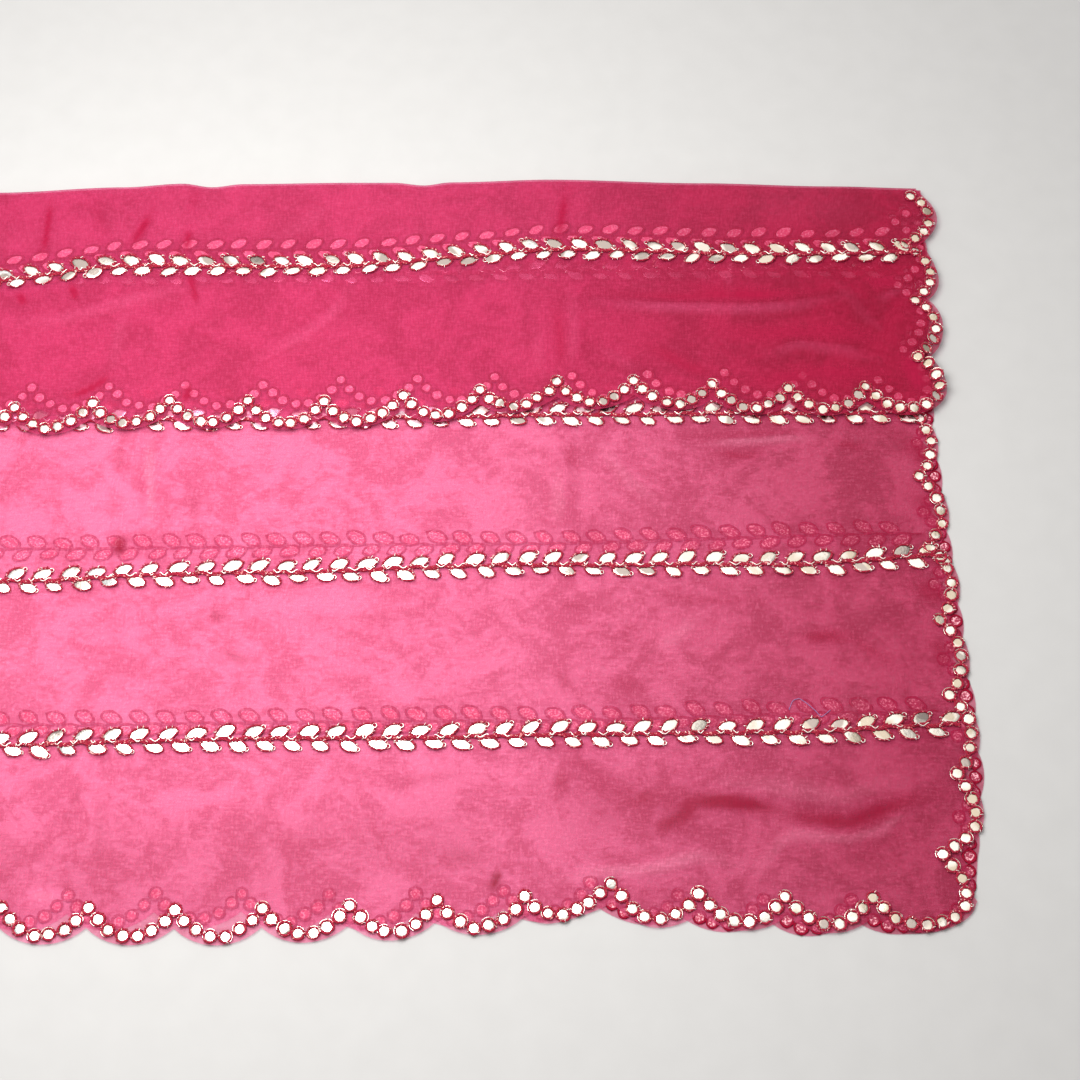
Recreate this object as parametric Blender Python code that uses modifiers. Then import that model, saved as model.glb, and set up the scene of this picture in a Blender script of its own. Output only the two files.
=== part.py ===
# A sheer dupatta stole, laid flat. One oblong of organza is cut in lobes on all four sides. It is
# folded across its length, so that both ends lie together on the right, and its long top side is
# then turned down over the front as a flap. Foil vines run along it, and a line of foil discs
# follows every lobed edge. Metres, +Z up, the back layer resting on z = 0.

import math
from collections import namedtuple

import bmesh
import bpy
from mathutils import Vector
from mathutils.bvhtree import BVHTree
from mathutils.geometry import delaunay_2d_cdt

COLLECTION = "dupatta_stole"

# Cloth, as cut
LOBE_PITCH = 0.0667
LOBE_DEPTH = 0.013
CORNER_RADIUS = 0.045

# Walls. Organza is far thinner, so each layer stands for the cloth and the air under it.
WALL = 0.001
SEAM_GAP = 0.0003
BEND_GAP = 0.0005
BACK_Z = WALL / 2
FRONT_Z = 0.0021
INNER_FLAP_Z = 0.0049
FLAP_Z = 0.0067

# Foil trims
TRIM = 0.0006
TRIM_LIFT = WALL / 2 + SEAM_GAP + TRIM / 2
LEAF_PITCH = LOBE_PITCH / 3
LEAF_REACH = 0.0115
LEAF_LEAN = 0.014
LEAF_BASE = 0.009
STEM_HALF = 0.0015
DISC_BAND_HALF = 0.0048
DISC_INSET = 0.0065
DISC_DEPTH = 0.022
DISC_FLANK = 0.85

# The two folds. Each layer bends about the same line, an outer and an inner radius apart.
LEFT_FOLD_X = -0.605
MAIN_BEND = (FRONT_Z - BACK_Z) / 2
FLAP_BEND = (FLAP_Z - INNER_FLAP_Z) / 2
TOP_BEND_OUTER = (FLAP_Z - BACK_Z) / 2
TOP_BEND_INNER = (INNER_FLAP_Z - FRONT_Z) / 2
LEFT_TANGENT = LEFT_FOLD_X + MAIN_BEND + WALL / 2

# Mesh steps
LOBE_STEPS = 6
DISC_STEPS = 5
CORNER_STEPS = 5
COLUMN = LOBE_PITCH / 2
ROW = 0.038
GRID_CLEARANCE = 0.010
END_CLEARANCE = 0.004
OUTER_BEND_STEPS = 5
INNER_BEND_STEPS = 4
SIDE_BEND_STEPS = 4

# Where the edges lie, as the cloth was laid by hand: the line that the tips of the lobes touch
HemTip = namedtuple("HemTip", "x y")
EndTip = namedtuple("EndTip", "y x")
FRONT_HEM = [
    HemTip(*row)
    for row in (
        (-0.605, -0.352),
        (-0.200, -0.353),
        (0.000, -0.354),
        (0.110, -0.351),
        (0.250, -0.344),
        (0.320, -0.339),
        (0.400, -0.3425),
        (0.470, -0.3446),
        (0.600, -0.3446),
    )
]
BACK_HEM = [
    HemTip(*row)
    for row in (
        (-0.605, -0.345),
        (-0.100, -0.3425),
        (0.000, -0.340),
        (0.120, -0.343),
        (0.220, -0.338),
        (0.300, -0.338),
        (0.360, -0.343),
        (0.450, -0.347),
        (0.600, -0.349),
    )
]
FLAP_HEM = [
    HemTip(*row)
    for row in (
        (-0.605, 0.083),
        (-0.198, 0.085),
        (-0.064, 0.0915),
        (0.069, 0.0905),
        (0.136, 0.0965),
        (0.270, 0.1095),
        (0.335, 0.112),
        (0.402, 0.108),
        (0.466, 0.1035),
        (0.535, 0.1055),
        (0.600, 0.105),
    )
]
INNER_FLAP_HEM = [
    HemTip(*row)
    for row in (
        (-0.605, 0.086),
        (-0.245, 0.1045),
        (0.000, 0.1085),
        (0.100, 0.1135),
        (0.270, 0.1165),
        (0.415, 0.120),
        (0.600, 0.112),
    )
]
FRONT_END = [
    EndTip(*row)
    for row in (
        (-0.355, 0.585),
        (-0.287, 0.586),
        (-0.218, 0.596),
        (-0.085, 0.6005),
        (0.048, 0.5975),
        (0.345, 0.5950),
    )
]
BACK_END = [
    EndTip(*row)
    for row in (
        (-0.355, 0.589),
        (-0.252, 0.5915),
        (-0.118, 0.594),
        (0.345, 0.594),
    )
]
FLAP_END = [
    EndTip(*row)
    for row in (
        (0.100, 0.5990),
        (0.150, 0.5990),
        (0.190, 0.5945),
        (0.235, 0.6010),
        (0.300, 0.6075),
        (0.345, 0.6020),
    )
]
INNER_FLAP_END = [
    EndTip(*row)
    for row in (
        (0.100, 0.590),
        (0.220, 0.588),
        (0.345, 0.592),
    )
]
TOP_FOLD = [
    HemTip(*row)
    for row in (
        (-0.605, 0.340),
        (-0.240, 0.3395),
        (-0.126, 0.3455),
        (-0.070, 0.349),
        (0.079, 0.3505),
        (0.262, 0.354),
        (0.400, 0.351),
        (0.518, 0.348),
        (0.606, 0.344),
    )
]

# Layers that show: where their lobes meet, along the hem and up the end
Layer = namedtuple("Layer", "hem hem_cusp end end_cusp end_pitch z lifts")
BACK = Layer(BACK_HEM, 0.4915, BACK_END, -0.2520, LOBE_PITCH, BACK_Z, 0)
FRONT = Layer(FRONT_HEM, 0.5080, FRONT_END, -0.2830, 0.0662, FRONT_Z, 1)
INNER_FLAP = Layer(INNER_FLAP_HEM, 0.5470, INNER_FLAP_END, 0.1720, LOBE_PITCH, INNER_FLAP_Z, 1)
FLAP = Layer(FLAP_HEM, 0.5345, FLAP_END, 0.1700, 0.0600, FLAP_Z, 1)

# Vines: the line of the stem, the end where it stops, and the way its leaves point
StemPoint = namedtuple("StemPoint", "x y")
Vine = namedtuple("Vine", "name stem stops_at points_to")
VINES = (
    Vine(
        "vine_front_low",
        [StemPoint(-0.605, -0.196), StemPoint(-0.200, -0.194), StemPoint(0.042, -0.188),
         StemPoint(0.450, -0.183), StemPoint(0.600, -0.1755)],
        0.570,
        1,
    ),
    Vine(
        "vine_front_middle",
        [StemPoint(-0.605, -0.054), StemPoint(-0.200, -0.0505), StemPoint(0.013, -0.0425),
         StemPoint(0.240, -0.0357), StemPoint(0.450, -0.035), StemPoint(0.600, -0.026)],
        0.566,
        1,
    ),
    Vine(
        "vine_front_high",
        [StemPoint(-0.605, 0.098), StemPoint(-0.245, 0.101), StemPoint(0.600, 0.110)],
        0.560,
        1,
    ),
)
FLAP_VINE = Vine(
    "vine_flap",
    [StemPoint(-0.605, 0.240), StemPoint(-0.230, 0.242), StemPoint(-0.117, 0.257),
     StemPoint(0.050, 0.257), StemPoint(0.290, 0.275), StemPoint(0.460, 0.2705),
     StemPoint(0.600, 0.272)],
    0.567,
    -1,
)

# The largest folds of the laid cloth: soft ridges from a start to an end
Ridge = namedtuple("Ridge", "start_x start_y end_x end_y height half_width")
RIDGES = [
    Ridge(*row)
    for row in (
        (0.262, -0.270, 0.268, 0.270, 0.0016, 0.060),
        (-0.100, -0.270, -0.073, 0.270, 0.0016, 0.060),
        (-0.430, -0.270, -0.430, 0.270, 0.0016, 0.060),
        (0.370, -0.240, 0.520, -0.205, 0.0022, 0.075),
        (0.360, -0.070, 0.520, -0.100, 0.0020, 0.070),
        (0.380, 0.215, 0.500, 0.218, 0.0018, 0.065),
        (0.060, 0.215, 0.160, 0.205, 0.0014, 0.060),
        (0.040, -0.100, 0.150, -0.070, 0.0016, 0.070),
        (0.020, -0.265, 0.150, -0.245, 0.0018, 0.070),
        (-0.540, -0.150, -0.530, -0.230, 0.0020, 0.070),
        (-0.300, 0.020, -0.220, -0.060, 0.0020, 0.070),
        (-0.290, -0.270, -0.220, -0.230, 0.0018, 0.070),
        (-0.300, 0.205, -0.190, 0.225, 0.0016, 0.065),
        (-0.550, 0.060, -0.530, 0.200, 0.0016, 0.060),
    )
]
RIDGE_FADE = 0.060


def smooth(share):
    """Eases 0 to 1 with level ends."""
    share = min(max(share, 0.0), 1.0)
    return share * share * (3 - 2 * share)


def along(line, at):
    """The second column of a table of rows, eased between the rows round at."""
    if at <= line[0][0]:
        return line[0][1]
    for low, high in zip(line, line[1:]):
        if at <= high[0]:
            return low[1] + (high[1] - low[1]) * smooth((at - low[0]) / (high[0] - low[0]))
    return line[-1][1]


def top_tangent(x):
    """Where the layers start to bend over at the top fold."""
    return along(TOP_FOLD, x) - TOP_BEND_OUTER - WALL / 2


def lift(x, y):
    """How far the loose layers stand above their flat place."""
    total = 0.0
    for ridge in RIDGES:
        start = Vector((ridge.start_x, ridge.start_y))
        run = Vector((ridge.end_x, ridge.end_y)) - start
        point = Vector((x, y))
        share = min(max((point - start).dot(run) / run.length_squared, 0.0), 1.0)
        away = (point - start - share * run).length
        if away < ridge.half_width:
            total += ridge.height * math.cos(math.pi / 2 * away / ridge.half_width) ** 2
    to_fold = min(top_tangent(x) - y, x - LEFT_TANGENT)
    return total * smooth(to_fold / RIDGE_FADE)


def cloth_rise(u):
    """Height of the cloth's edge over the lobe tips, for u from -1 to 1 across a lobe."""
    radius = (LOBE_PITCH**2 / 4 + LOBE_DEPTH**2) / (2 * LOBE_DEPTH)
    return radius - math.sqrt(radius**2 - (u * LOBE_PITCH / 2) ** 2)


def disc_rise(u):
    """Height of the line of discs over the lobe tips: a peak at each cusp, round between."""
    fall = math.sin(math.pi * (min(max(u, -1.0), 1.0) + 1) / 2) ** DISC_FLANK
    return DISC_INSET + DISC_DEPTH * (1 - fall)


def border(layer, rise, steps, left, top):
    """Points of a lobed line along the hem from left, round the corner and up the end to top."""
    spots = []
    cusp_x, cusp_y = layer.hem_cusp, layer.end_cusp
    count = int((cusp_x - left - END_CLEARANCE) / LOBE_PITCH * steps)
    spots.append((left, along(layer.hem, left) + rise(lobe_share(left, cusp_x, LOBE_PITCH))))
    for k in range(count, -1, -1):
        x = cusp_x - k * LOBE_PITCH / steps
        spots.append((x, along(layer.hem, x) + rise(lobe_share(x, cusp_x, LOBE_PITCH))))
    half = steps // 2 + steps % 2
    for k in range(1, half + 1):
        x = cusp_x + k / half * LOBE_PITCH / 2
        spots.append((x, along(layer.hem, x) + rise(k / half - 1)))
    inset = rise(0.0)
    tip_x = along(layer.end, along(layer.hem, cusp_x) + CORNER_RADIUS)
    tip_y = along(layer.hem, tip_x - CORNER_RADIUS)
    across = min(CORNER_RADIUS, tip_x - cusp_x - LOBE_PITCH / 2)
    up = min(CORNER_RADIUS, cusp_y - layer.end_pitch / 2 - tip_y)
    for k in range(CORNER_STEPS + 1):
        turn = math.pi / 2 * k / CORNER_STEPS
        x = tip_x - across + (across - inset) * math.sin(turn)
        if x > spots[-1][0] + END_CLEARANCE:
            spots.append((x, tip_y + up - (up - inset) * math.cos(turn)))
    for k in range(half, 0, -1):
        y = cusp_y - k / half * layer.end_pitch / 2
        if y > spots[-1][1] + END_CLEARANCE:
            spots.append((along(layer.end, y) - rise(k / half - 1), y))
    count = int((top - cusp_y - END_CLEARANCE) / layer.end_pitch * steps)
    for k in range(count + 1):
        y = cusp_y + k * layer.end_pitch / steps
        spots.append((along(layer.end, y) - rise(lobe_share(y, cusp_y, layer.end_pitch)), y))
    return spots


def lobe_share(at, cusp, pitch):
    """Where a place lies across its lobe: -1 and 1 at the cusps, 0 at the tip."""
    return 2 * (((at - cusp) / pitch) % 1.0) - 1


def inside(point, outline, clearance):
    """True if a point lies within an outline, at least clearance from its sides."""
    x, y = point
    within = False
    for (ax, ay), (bx, by) in zip(outline, outline[1:] + outline[:1]):
        if (ay > y) != (by > y) and x < ax + (y - ay) * (bx - ax) / (by - ay):
            within = not within
        side = Vector((bx - ax, by - ay))
        share = min(max((Vector((x - ax, y - ay))).dot(side) / side.length_squared, 0.0), 1.0)
        if (Vector((x - ax, y - ay)) - share * side).length < clearance:
            return False
    return within


def flat_mesh(outline, places):
    """Triangles that fill an outline, with more points at places, as points and faces."""
    points = [Vector(p) for p in [*outline, *places]]
    ring = list(range(len(outline)))
    corners, _, faces, *_ = delaunay_2d_cdt(points, [], [ring], 1, 1e-7)
    return corners, faces


def panel(name, layer, left, seam_top, material, top_bend=None, left_bend=None):
    """One layer of cloth: a lobed sheet, with rows bent round a fold where it has one."""
    def top_at(x):
        return top_tangent(x) - seam_top

    end_top = top_at(along(layer.end, top_at(0.6)))
    outline = border(layer, cloth_rise, LOBE_STEPS, left, end_top)
    columns = [k * COLUMN for k in range(-30, 30)]
    rows = [k * ROW for k in range(-12, 12)]
    right = along(layer.end, end_top) - cloth_rise(
        lobe_share(end_top, layer.end_cusp, layer.end_pitch)
    )
    top_edge = [x for x in columns if left + GRID_CLEARANCE < x < right - GRID_CLEARANCE]
    top_edge = [left, *top_edge, right]
    low = outline[0][1]
    left_edge = [y for y in rows if low + GRID_CLEARANCE < y < top_at(left) - GRID_CLEARANCE]
    outline += [(x, top_at(x)) for x in reversed(top_edge)]
    outline += [(left, y) for y in reversed(left_edge)]
    places = [(x, y) for x in columns for y in rows if inside((x, y), outline, GRID_CLEARANCE)]
    if not layer.lifts:
        places = []
    corners, faces = flat_mesh(outline, places)

    mesh = bmesh.new()
    heights = [layer.z + layer.lifts * lift(*c) for c in corners]
    verts = [mesh.verts.new((*c, z)) for c, z in zip(corners, heights)]
    for face in faces:
        mesh.faces.new([verts[i] for i in face])
    if top_bend:
        radius, steps = top_bend
        edge = [nearest(verts, (x, top_at(x))) for x in top_edge]
        bend_row(mesh, edge, Vector((0, 1, 0)), radius, steps)
    if left_bend:
        radius, steps = left_bend
        edge = [nearest(verts, (left, y)) for y in [low, *left_edge, top_at(left)]]
        bend_row(mesh, edge, Vector((-1, 0, 0)), radius, steps)
    bmesh.ops.recalc_face_normals(mesh, faces=mesh.faces)
    if max(mesh.faces, key=lambda f: f.calc_area()).normal.z < 0:
        bmesh.ops.reverse_faces(mesh, faces=mesh.faces)
    return finish_wall(name, mesh, WALL, material)


def nearest(verts, place):
    """The vertex at a place in plan."""
    return min(verts, key=lambda v: (v.co.xy - Vector(place)).length_squared)


def bend_row(mesh, edge, outward, radius, steps):
    """Carries an edge of a sheet half round a fold, outward and down."""
    previous = edge
    for step in range(1, steps + 1):
        turn = math.pi * step / steps
        shift = outward * radius * math.sin(turn) - Vector((0, 0, radius * (1 - math.cos(turn))))
        row = [mesh.verts.new(v.co + shift) for v in edge]
        for k in range(len(row) - 1):
            mesh.faces.new((previous[k], previous[k + 1], row[k + 1], row[k]))
        previous = row


def finish_wall(name, mesh, thickness, material):
    """Makes an object of an open sheet and gives it its thickness."""
    data = bpy.data.meshes.new(name)
    mesh.to_mesh(data)
    mesh.free()
    item = bpy.data.objects.new(name, data)
    bpy.data.collections[COLLECTION].objects.link(item)
    item.parent = bpy.data.objects["stole"]
    data.materials.append(material)
    solidify = item.modifiers.new("wall", "SOLIDIFY")
    solidify.thickness = thickness
    solidify.offset = 0.0
    data.shade_smooth()
    data.set_sharp_from_angle(angle=math.radians(40))
    return item


def surface_of(item):
    """A finder for the height of a sheet's own open surface."""
    mesh = bmesh.new()
    mesh.from_mesh(item.data)
    tree = BVHTree.FromBMesh(mesh)
    mesh.free()

    def height(x, y):
        found = tree.ray_cast(Vector((x, y, 0.1)), Vector((0, 0, -1)))
        return found[0].z

    return height


def lay_on(name, outline_mesh, height, material):
    """Lays a flat trim on a panel, by the panel's own surface moved out."""
    corners, faces = outline_mesh
    mesh = bmesh.new()
    verts = [mesh.verts.new((x, y, height(x, y) + TRIM_LIFT)) for x, y in corners]
    for face in faces:
        mesh.faces.new([verts[i] for i in face])
    bmesh.ops.recalc_face_normals(mesh, faces=mesh.faces)
    if mesh.faces[:][0].normal.z < 0:
        bmesh.ops.reverse_faces(mesh, faces=mesh.faces)
    return finish_wall(name, mesh, TRIM, material)


def vine(plan, height, material):
    """A stem with leaves leaning from both sides in turn, cut as one strip."""
    start = LEFT_TANGENT + SEAM_GAP
    count = int((plan.stops_at - start) / LEAF_PITCH)
    first = start if plan.points_to > 0 else plan.stops_at
    sides = {1: [], -1: []}
    for side, delay in ((1, 0.0), (-1, 0.5)):
        for k in range(count):
            root = first + plan.points_to * (k + delay) * LEAF_PITCH
            for reach, out in ((0.0, STEM_HALF), (LEAF_LEAN, LEAF_REACH), (LEAF_BASE, STEM_HALF)):
                x = root + plan.points_to * reach
                sides[side].append((x, along(plan.stem, x) + side * out))
    outline = sides[-1] + sides[1][::-1]
    if plan.points_to < 0:
        outline.reverse()
    return lay_on(plan.name, flat_mesh(outline, []), height, material)


def disc_band(name, layer, top, height, material):
    """The line of foil discs as one band along the hem, round the corner and up the end."""
    path = [Vector(p) for p in border(layer, disc_rise, DISC_STEPS, LEFT_TANGENT + SEAM_GAP, top)]
    runs = [(b - a).normalized() for a, b in zip(path, path[1:])]
    joints = [Vector((1, 0)), *((a + b).normalized() for a, b in zip(runs, runs[1:]))]
    joints.append(Vector((0, 1)))
    left, right = [], []
    for point, run, joint in zip(path, [runs[0], *runs], joints):
        across = Vector((-joint.y, joint.x))
        reach = DISC_BAND_HALF / max(joint.dot(run), 0.8)
        left.append(point + across * reach)
        right.append(point - across * reach)
    corners = [*left, *right]
    shift = len(left)
    faces = [(k, k + 1, k + 1 + shift, k + shift) for k in range(shift - 1)]
    return lay_on(name, (corners, faces), height, material)


def surface_material(name, colour, roughness, metallic):
    """A plain Principled material."""
    material = bpy.data.materials.new(name)
    material.use_nodes = True
    shader = material.node_tree.nodes["Principled BSDF"]
    shader.inputs["Base Color"].default_value = (*colour, 1.0)
    shader.inputs["Roughness"].default_value = roughness
    shader.inputs["Metallic"].default_value = metallic
    return material


def clear_scene():
    """Removes what a new file starts with."""
    for item in list(bpy.data.objects):
        bpy.data.objects.remove(item)


def build():
    """Makes the four layers of cloth and the foil trims on the two that show."""
    clear_scene()
    collection = bpy.data.collections.new(COLLECTION)
    bpy.context.scene.collection.children.link(collection)
    collection.objects.link(bpy.data.objects.new("stole", None))
    organza = surface_material("organza", (0.72, 0.07, 0.19), 0.45, 0.0)
    foil = surface_material("gota_foil", (0.84, 0.78, 0.66), 0.30, 0.9)

    under = LEFT_TANGENT + BEND_GAP
    panel("back_panel", BACK, under, BEND_GAP, organza)
    front = panel(
        "front_panel", FRONT, LEFT_TANGENT, BEND_GAP, organza,
        left_bend=(MAIN_BEND, SIDE_BEND_STEPS),
    )
    panel(
        "flap_inner", INNER_FLAP, under, 0.0, organza,
        top_bend=(TOP_BEND_INNER, INNER_BEND_STEPS),
    )
    flap = panel(
        "flap_outer", FLAP, LEFT_TANGENT, 0.0, organza,
        top_bend=(TOP_BEND_OUTER, OUTER_BEND_STEPS),
        left_bend=(FLAP_BEND, SIDE_BEND_STEPS),
    )
    on_front, on_flap = surface_of(front), surface_of(flap)
    for plan in VINES:
        vine(plan, on_front, foil)
    vine(FLAP_VINE, on_flap, foil)
    disc_band("discs_front", FRONT, 0.330, on_front, foil)
    disc_band("discs_flap", FLAP, 0.332, on_flap, foil)


build()
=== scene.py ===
# %% [markdown]
# # A sheer dupatta stole, laid flat
# The stole is one oblong of pink organza, 2.40 by 0.94 m, with lobed edges. It is folded in half
# across its length, and its long top side is then turned down as a flap, so four stretches of
# the same cloth lie over each other. This script dresses the four solids of the model: first the
# cloth, then the foil leaves, discs and thread that are sewn to it, then the light.

import math
import random
from collections import namedtuple

import bmesh
import bpy
import numpy as np
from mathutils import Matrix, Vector
from mathutils.geometry import delaunay_2d_cdt


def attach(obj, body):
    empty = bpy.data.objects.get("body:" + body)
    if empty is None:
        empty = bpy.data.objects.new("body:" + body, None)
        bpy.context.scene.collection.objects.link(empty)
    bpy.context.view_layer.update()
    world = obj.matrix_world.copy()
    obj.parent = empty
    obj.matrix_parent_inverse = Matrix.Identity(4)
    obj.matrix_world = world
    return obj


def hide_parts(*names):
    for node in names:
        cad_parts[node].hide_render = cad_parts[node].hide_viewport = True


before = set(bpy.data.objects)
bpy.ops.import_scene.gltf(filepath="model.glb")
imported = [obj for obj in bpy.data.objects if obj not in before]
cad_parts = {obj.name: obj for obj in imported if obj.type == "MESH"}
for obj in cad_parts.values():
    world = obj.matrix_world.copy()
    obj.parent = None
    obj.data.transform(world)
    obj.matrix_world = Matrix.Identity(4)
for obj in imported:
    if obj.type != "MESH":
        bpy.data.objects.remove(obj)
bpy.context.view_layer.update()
print("solids:", sorted(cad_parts))

# %% [markdown]
# ## The camera
# The photo looks down at 64 degrees above the table, from the hem's side. Where the lobes and
# leaves shrink towards the back shows how far off the camera stood: 1.64 m with a lens of 65 mm
# on a 36 mm frame. The stole's left part lies outside the picture, so the camera aims to the
# right of its middle.

# %% Camera
AIM = Vector((0.253, -0.011, 0.0))
LOOK_DOWN = math.radians(64.0)
DISTANCE = 1.6375
FOCAL = 1960 / 1080 * 36

lens = bpy.data.cameras.new("camera")
lens.lens = FOCAL
lens.sensor_width = 36
camera = bpy.data.objects.new("camera", lens)
camera.location = AIM + DISTANCE * Vector((0, -math.cos(LOOK_DOWN), math.sin(LOOK_DOWN)))
camera.rotation_euler = (math.pi / 2 - LOOK_DOWN, 0, 0)
bpy.context.scene.collection.objects.link(camera)
bpy.context.scene.camera = camera
print(f"camera: {DISTANCE} m off, {FOCAL:.1f} mm lens")

# %% [markdown]
# ## How the cloth was laid
# Nobody lays a stole with a ruler, so each edge wanders by a few millimetres. A short table per
# edge gives the line that the tips of its lobes touch. The model's solids come from such tables
# too. These are a few millimetres closer to the photo in places. Values between two rows are
# eased, which bends the edge as cloth bends.

# %% Lay of the edges
LOBE = 0.0667
LOBE_DEPTH = 0.013
CORNER = 0.045
FOLD_X = -0.605

FRONT_HEM = ((-0.605, -0.352), (-0.200, -0.353), (0.000, -0.354), (0.110, -0.351),
             (0.235, -0.345), (0.291, -0.3315), (0.345, -0.3405), (0.400, -0.3425),
             (0.470, -0.3446), (0.540, -0.3440), (0.600, -0.3400))
BACK_HEM = ((-0.605, -0.345), (-0.100, -0.3425), (0.000, -0.340), (0.120, -0.343),
            (0.220, -0.338), (0.295, -0.3325), (0.360, -0.342), (0.450, -0.3465),
            (0.530, -0.3450), (0.600, -0.3400))
FLAP_HEM = ((-0.605, 0.083), (-0.198, 0.085), (-0.064, 0.0915), (0.069, 0.0905),
            (0.136, 0.0965), (0.270, 0.1095), (0.335, 0.112), (0.402, 0.108), (0.466, 0.1035),
            (0.535, 0.1055), (0.600, 0.105))
UNDER_FLAP_HEM = ((-0.605, 0.086), (-0.245, 0.1045), (0.000, 0.1085), (0.100, 0.1135),
                  (0.270, 0.1165), (0.415, 0.120), (0.600, 0.112))
FRONT_END = ((-0.355, 0.577), (-0.300, 0.588), (-0.250, 0.6000), (-0.190, 0.603),
             (-0.085, 0.6005), (0.000, 0.597), (0.048, 0.5945), (0.110, 0.592), (0.200, 0.598),
             (0.345, 0.601))
BACK_END = ((-0.355, 0.577), (-0.300, 0.589), (-0.250, 0.6015), (-0.190, 0.605),
            (-0.118, 0.600), (0.060, 0.594), (0.120, 0.593), (0.345, 0.602))
FLAP_END = ((0.100, 0.6040), (0.140, 0.6050), (0.180, 0.6065), (0.230, 0.6100),
            (0.265, 0.6055), (0.310, 0.6120), (0.345, 0.6080))
UNDER_FLAP_END = ((0.100, 0.594), (0.220, 0.596), (0.300, 0.602), (0.345, 0.600))
PEAK_DEPTH = ((-0.290, 1.0), (-0.235, 0.62), (0.120, 0.62), (0.160, 0.85), (0.345, 1.0))
TOP_FOLD = ((-0.605, 0.340), (-0.240, 0.3395), (-0.126, 0.3455), (-0.073, 0.3495),
            (-0.046, 0.3455), (-0.018, 0.3490), (0.079, 0.3505), (0.120, 0.3505),
            (0.147, 0.3475), (0.172, 0.3510), (0.262, 0.354), (0.400, 0.350), (0.518, 0.3465),
            (0.606, 0.344))


def along(line, at):
    """Reads a table of edge points at one place or many, eased between its rows."""
    table = np.array(line)
    at = np.asarray(at, float)
    row = np.clip(np.searchsorted(table[:, 0], at) - 1, 0, len(table) - 2)
    low, high = table[row], table[row + 1]
    share = np.clip((at - low[..., 0]) / (high[..., 0] - low[..., 0]), 0, 1)
    return low[..., 1] + (high[..., 1] - low[..., 1]) * share * share * (3 - 2 * share)


print("tables read, such as the front hem at x = 0:", float(along(FRONT_HEM, 0.0)))

# %% [markdown]
# ## Four stretches of one cloth
# Each stretch has a level above the table, the hem and end it shows, and the place where its
# lobes meet. The wrong side of the cloth is up on the back stretch and on the inner side of the
# flap, so only the backs of the foils are there, and they show faintly through the next layer.

# %% The four stretches
Stretch = namedtuple("Stretch", "hem hem_cusp end end_cusp end_pitch z loose")
BACK = Stretch(BACK_HEM, 0.4915, BACK_END, -0.2520, LOBE, 0.0009, 0.0)
FRONT = Stretch(FRONT_HEM, 0.5080, FRONT_END, -0.2830, 0.0662, 0.0021, 1.0)
UNDER_FLAP = Stretch(UNDER_FLAP_HEM, 0.5470, UNDER_FLAP_END, 0.1720, LOBE, 0.0049, 1.0)
FLAP = Stretch(FLAP_HEM, 0.5345, FLAP_END, 0.1630, 0.0590, 0.0067, 1.0)

TOP_RADIUS = 0.0034


def top_edge(x):
    """Where the cloth starts to bend over at the top fold."""
    return along(TOP_FOLD, x) - TOP_RADIUS


print("top fold starts to bend at y =", round(float(top_edge(0.0)), 4))

# %% [markdown]
# ## Lobed lines
# The cut edge and the line of discs follow the same lobes: along the hem, round the corner and up
# the end. One function walks that way and asks another how far the line stands back from the tips
# at each place. The discs climb to a peak where two lobes meet. The cut edge is a shallow arc.

# %% Lobed lines
DISC_INSET = 0.0062  # from a lobe's tip to the middle of its disc
PEAK_RISE = 0.0215  # how much further in the disc between two lobes lies


def lobe_share(at, cusp, pitch):
    """Where a place lies across its lobe: -1 and 1 at the cusps, 0 at the tip."""
    return 2 * (((at - cusp) / pitch) % 1.0) - 1


def cut_rise(u, depth=1.0):
    """How far the cut edge stands back from the tips of the lobes: a shallow round arc."""
    radius = (LOBE**2 / 4 + LOBE_DEPTH**2) / (2 * LOBE_DEPTH)
    return radius - math.sqrt(radius**2 - (u * LOBE / 2) ** 2)


def disc_rise(u, depth=1.0):
    """The same for the line of discs, which runs up to a sharp peak where two lobes meet."""
    fall = max(math.cos(math.pi * u / 2), 0.0) ** 0.85
    return DISC_INSET + PEAK_RISE * depth * (1 - fall)


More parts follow.
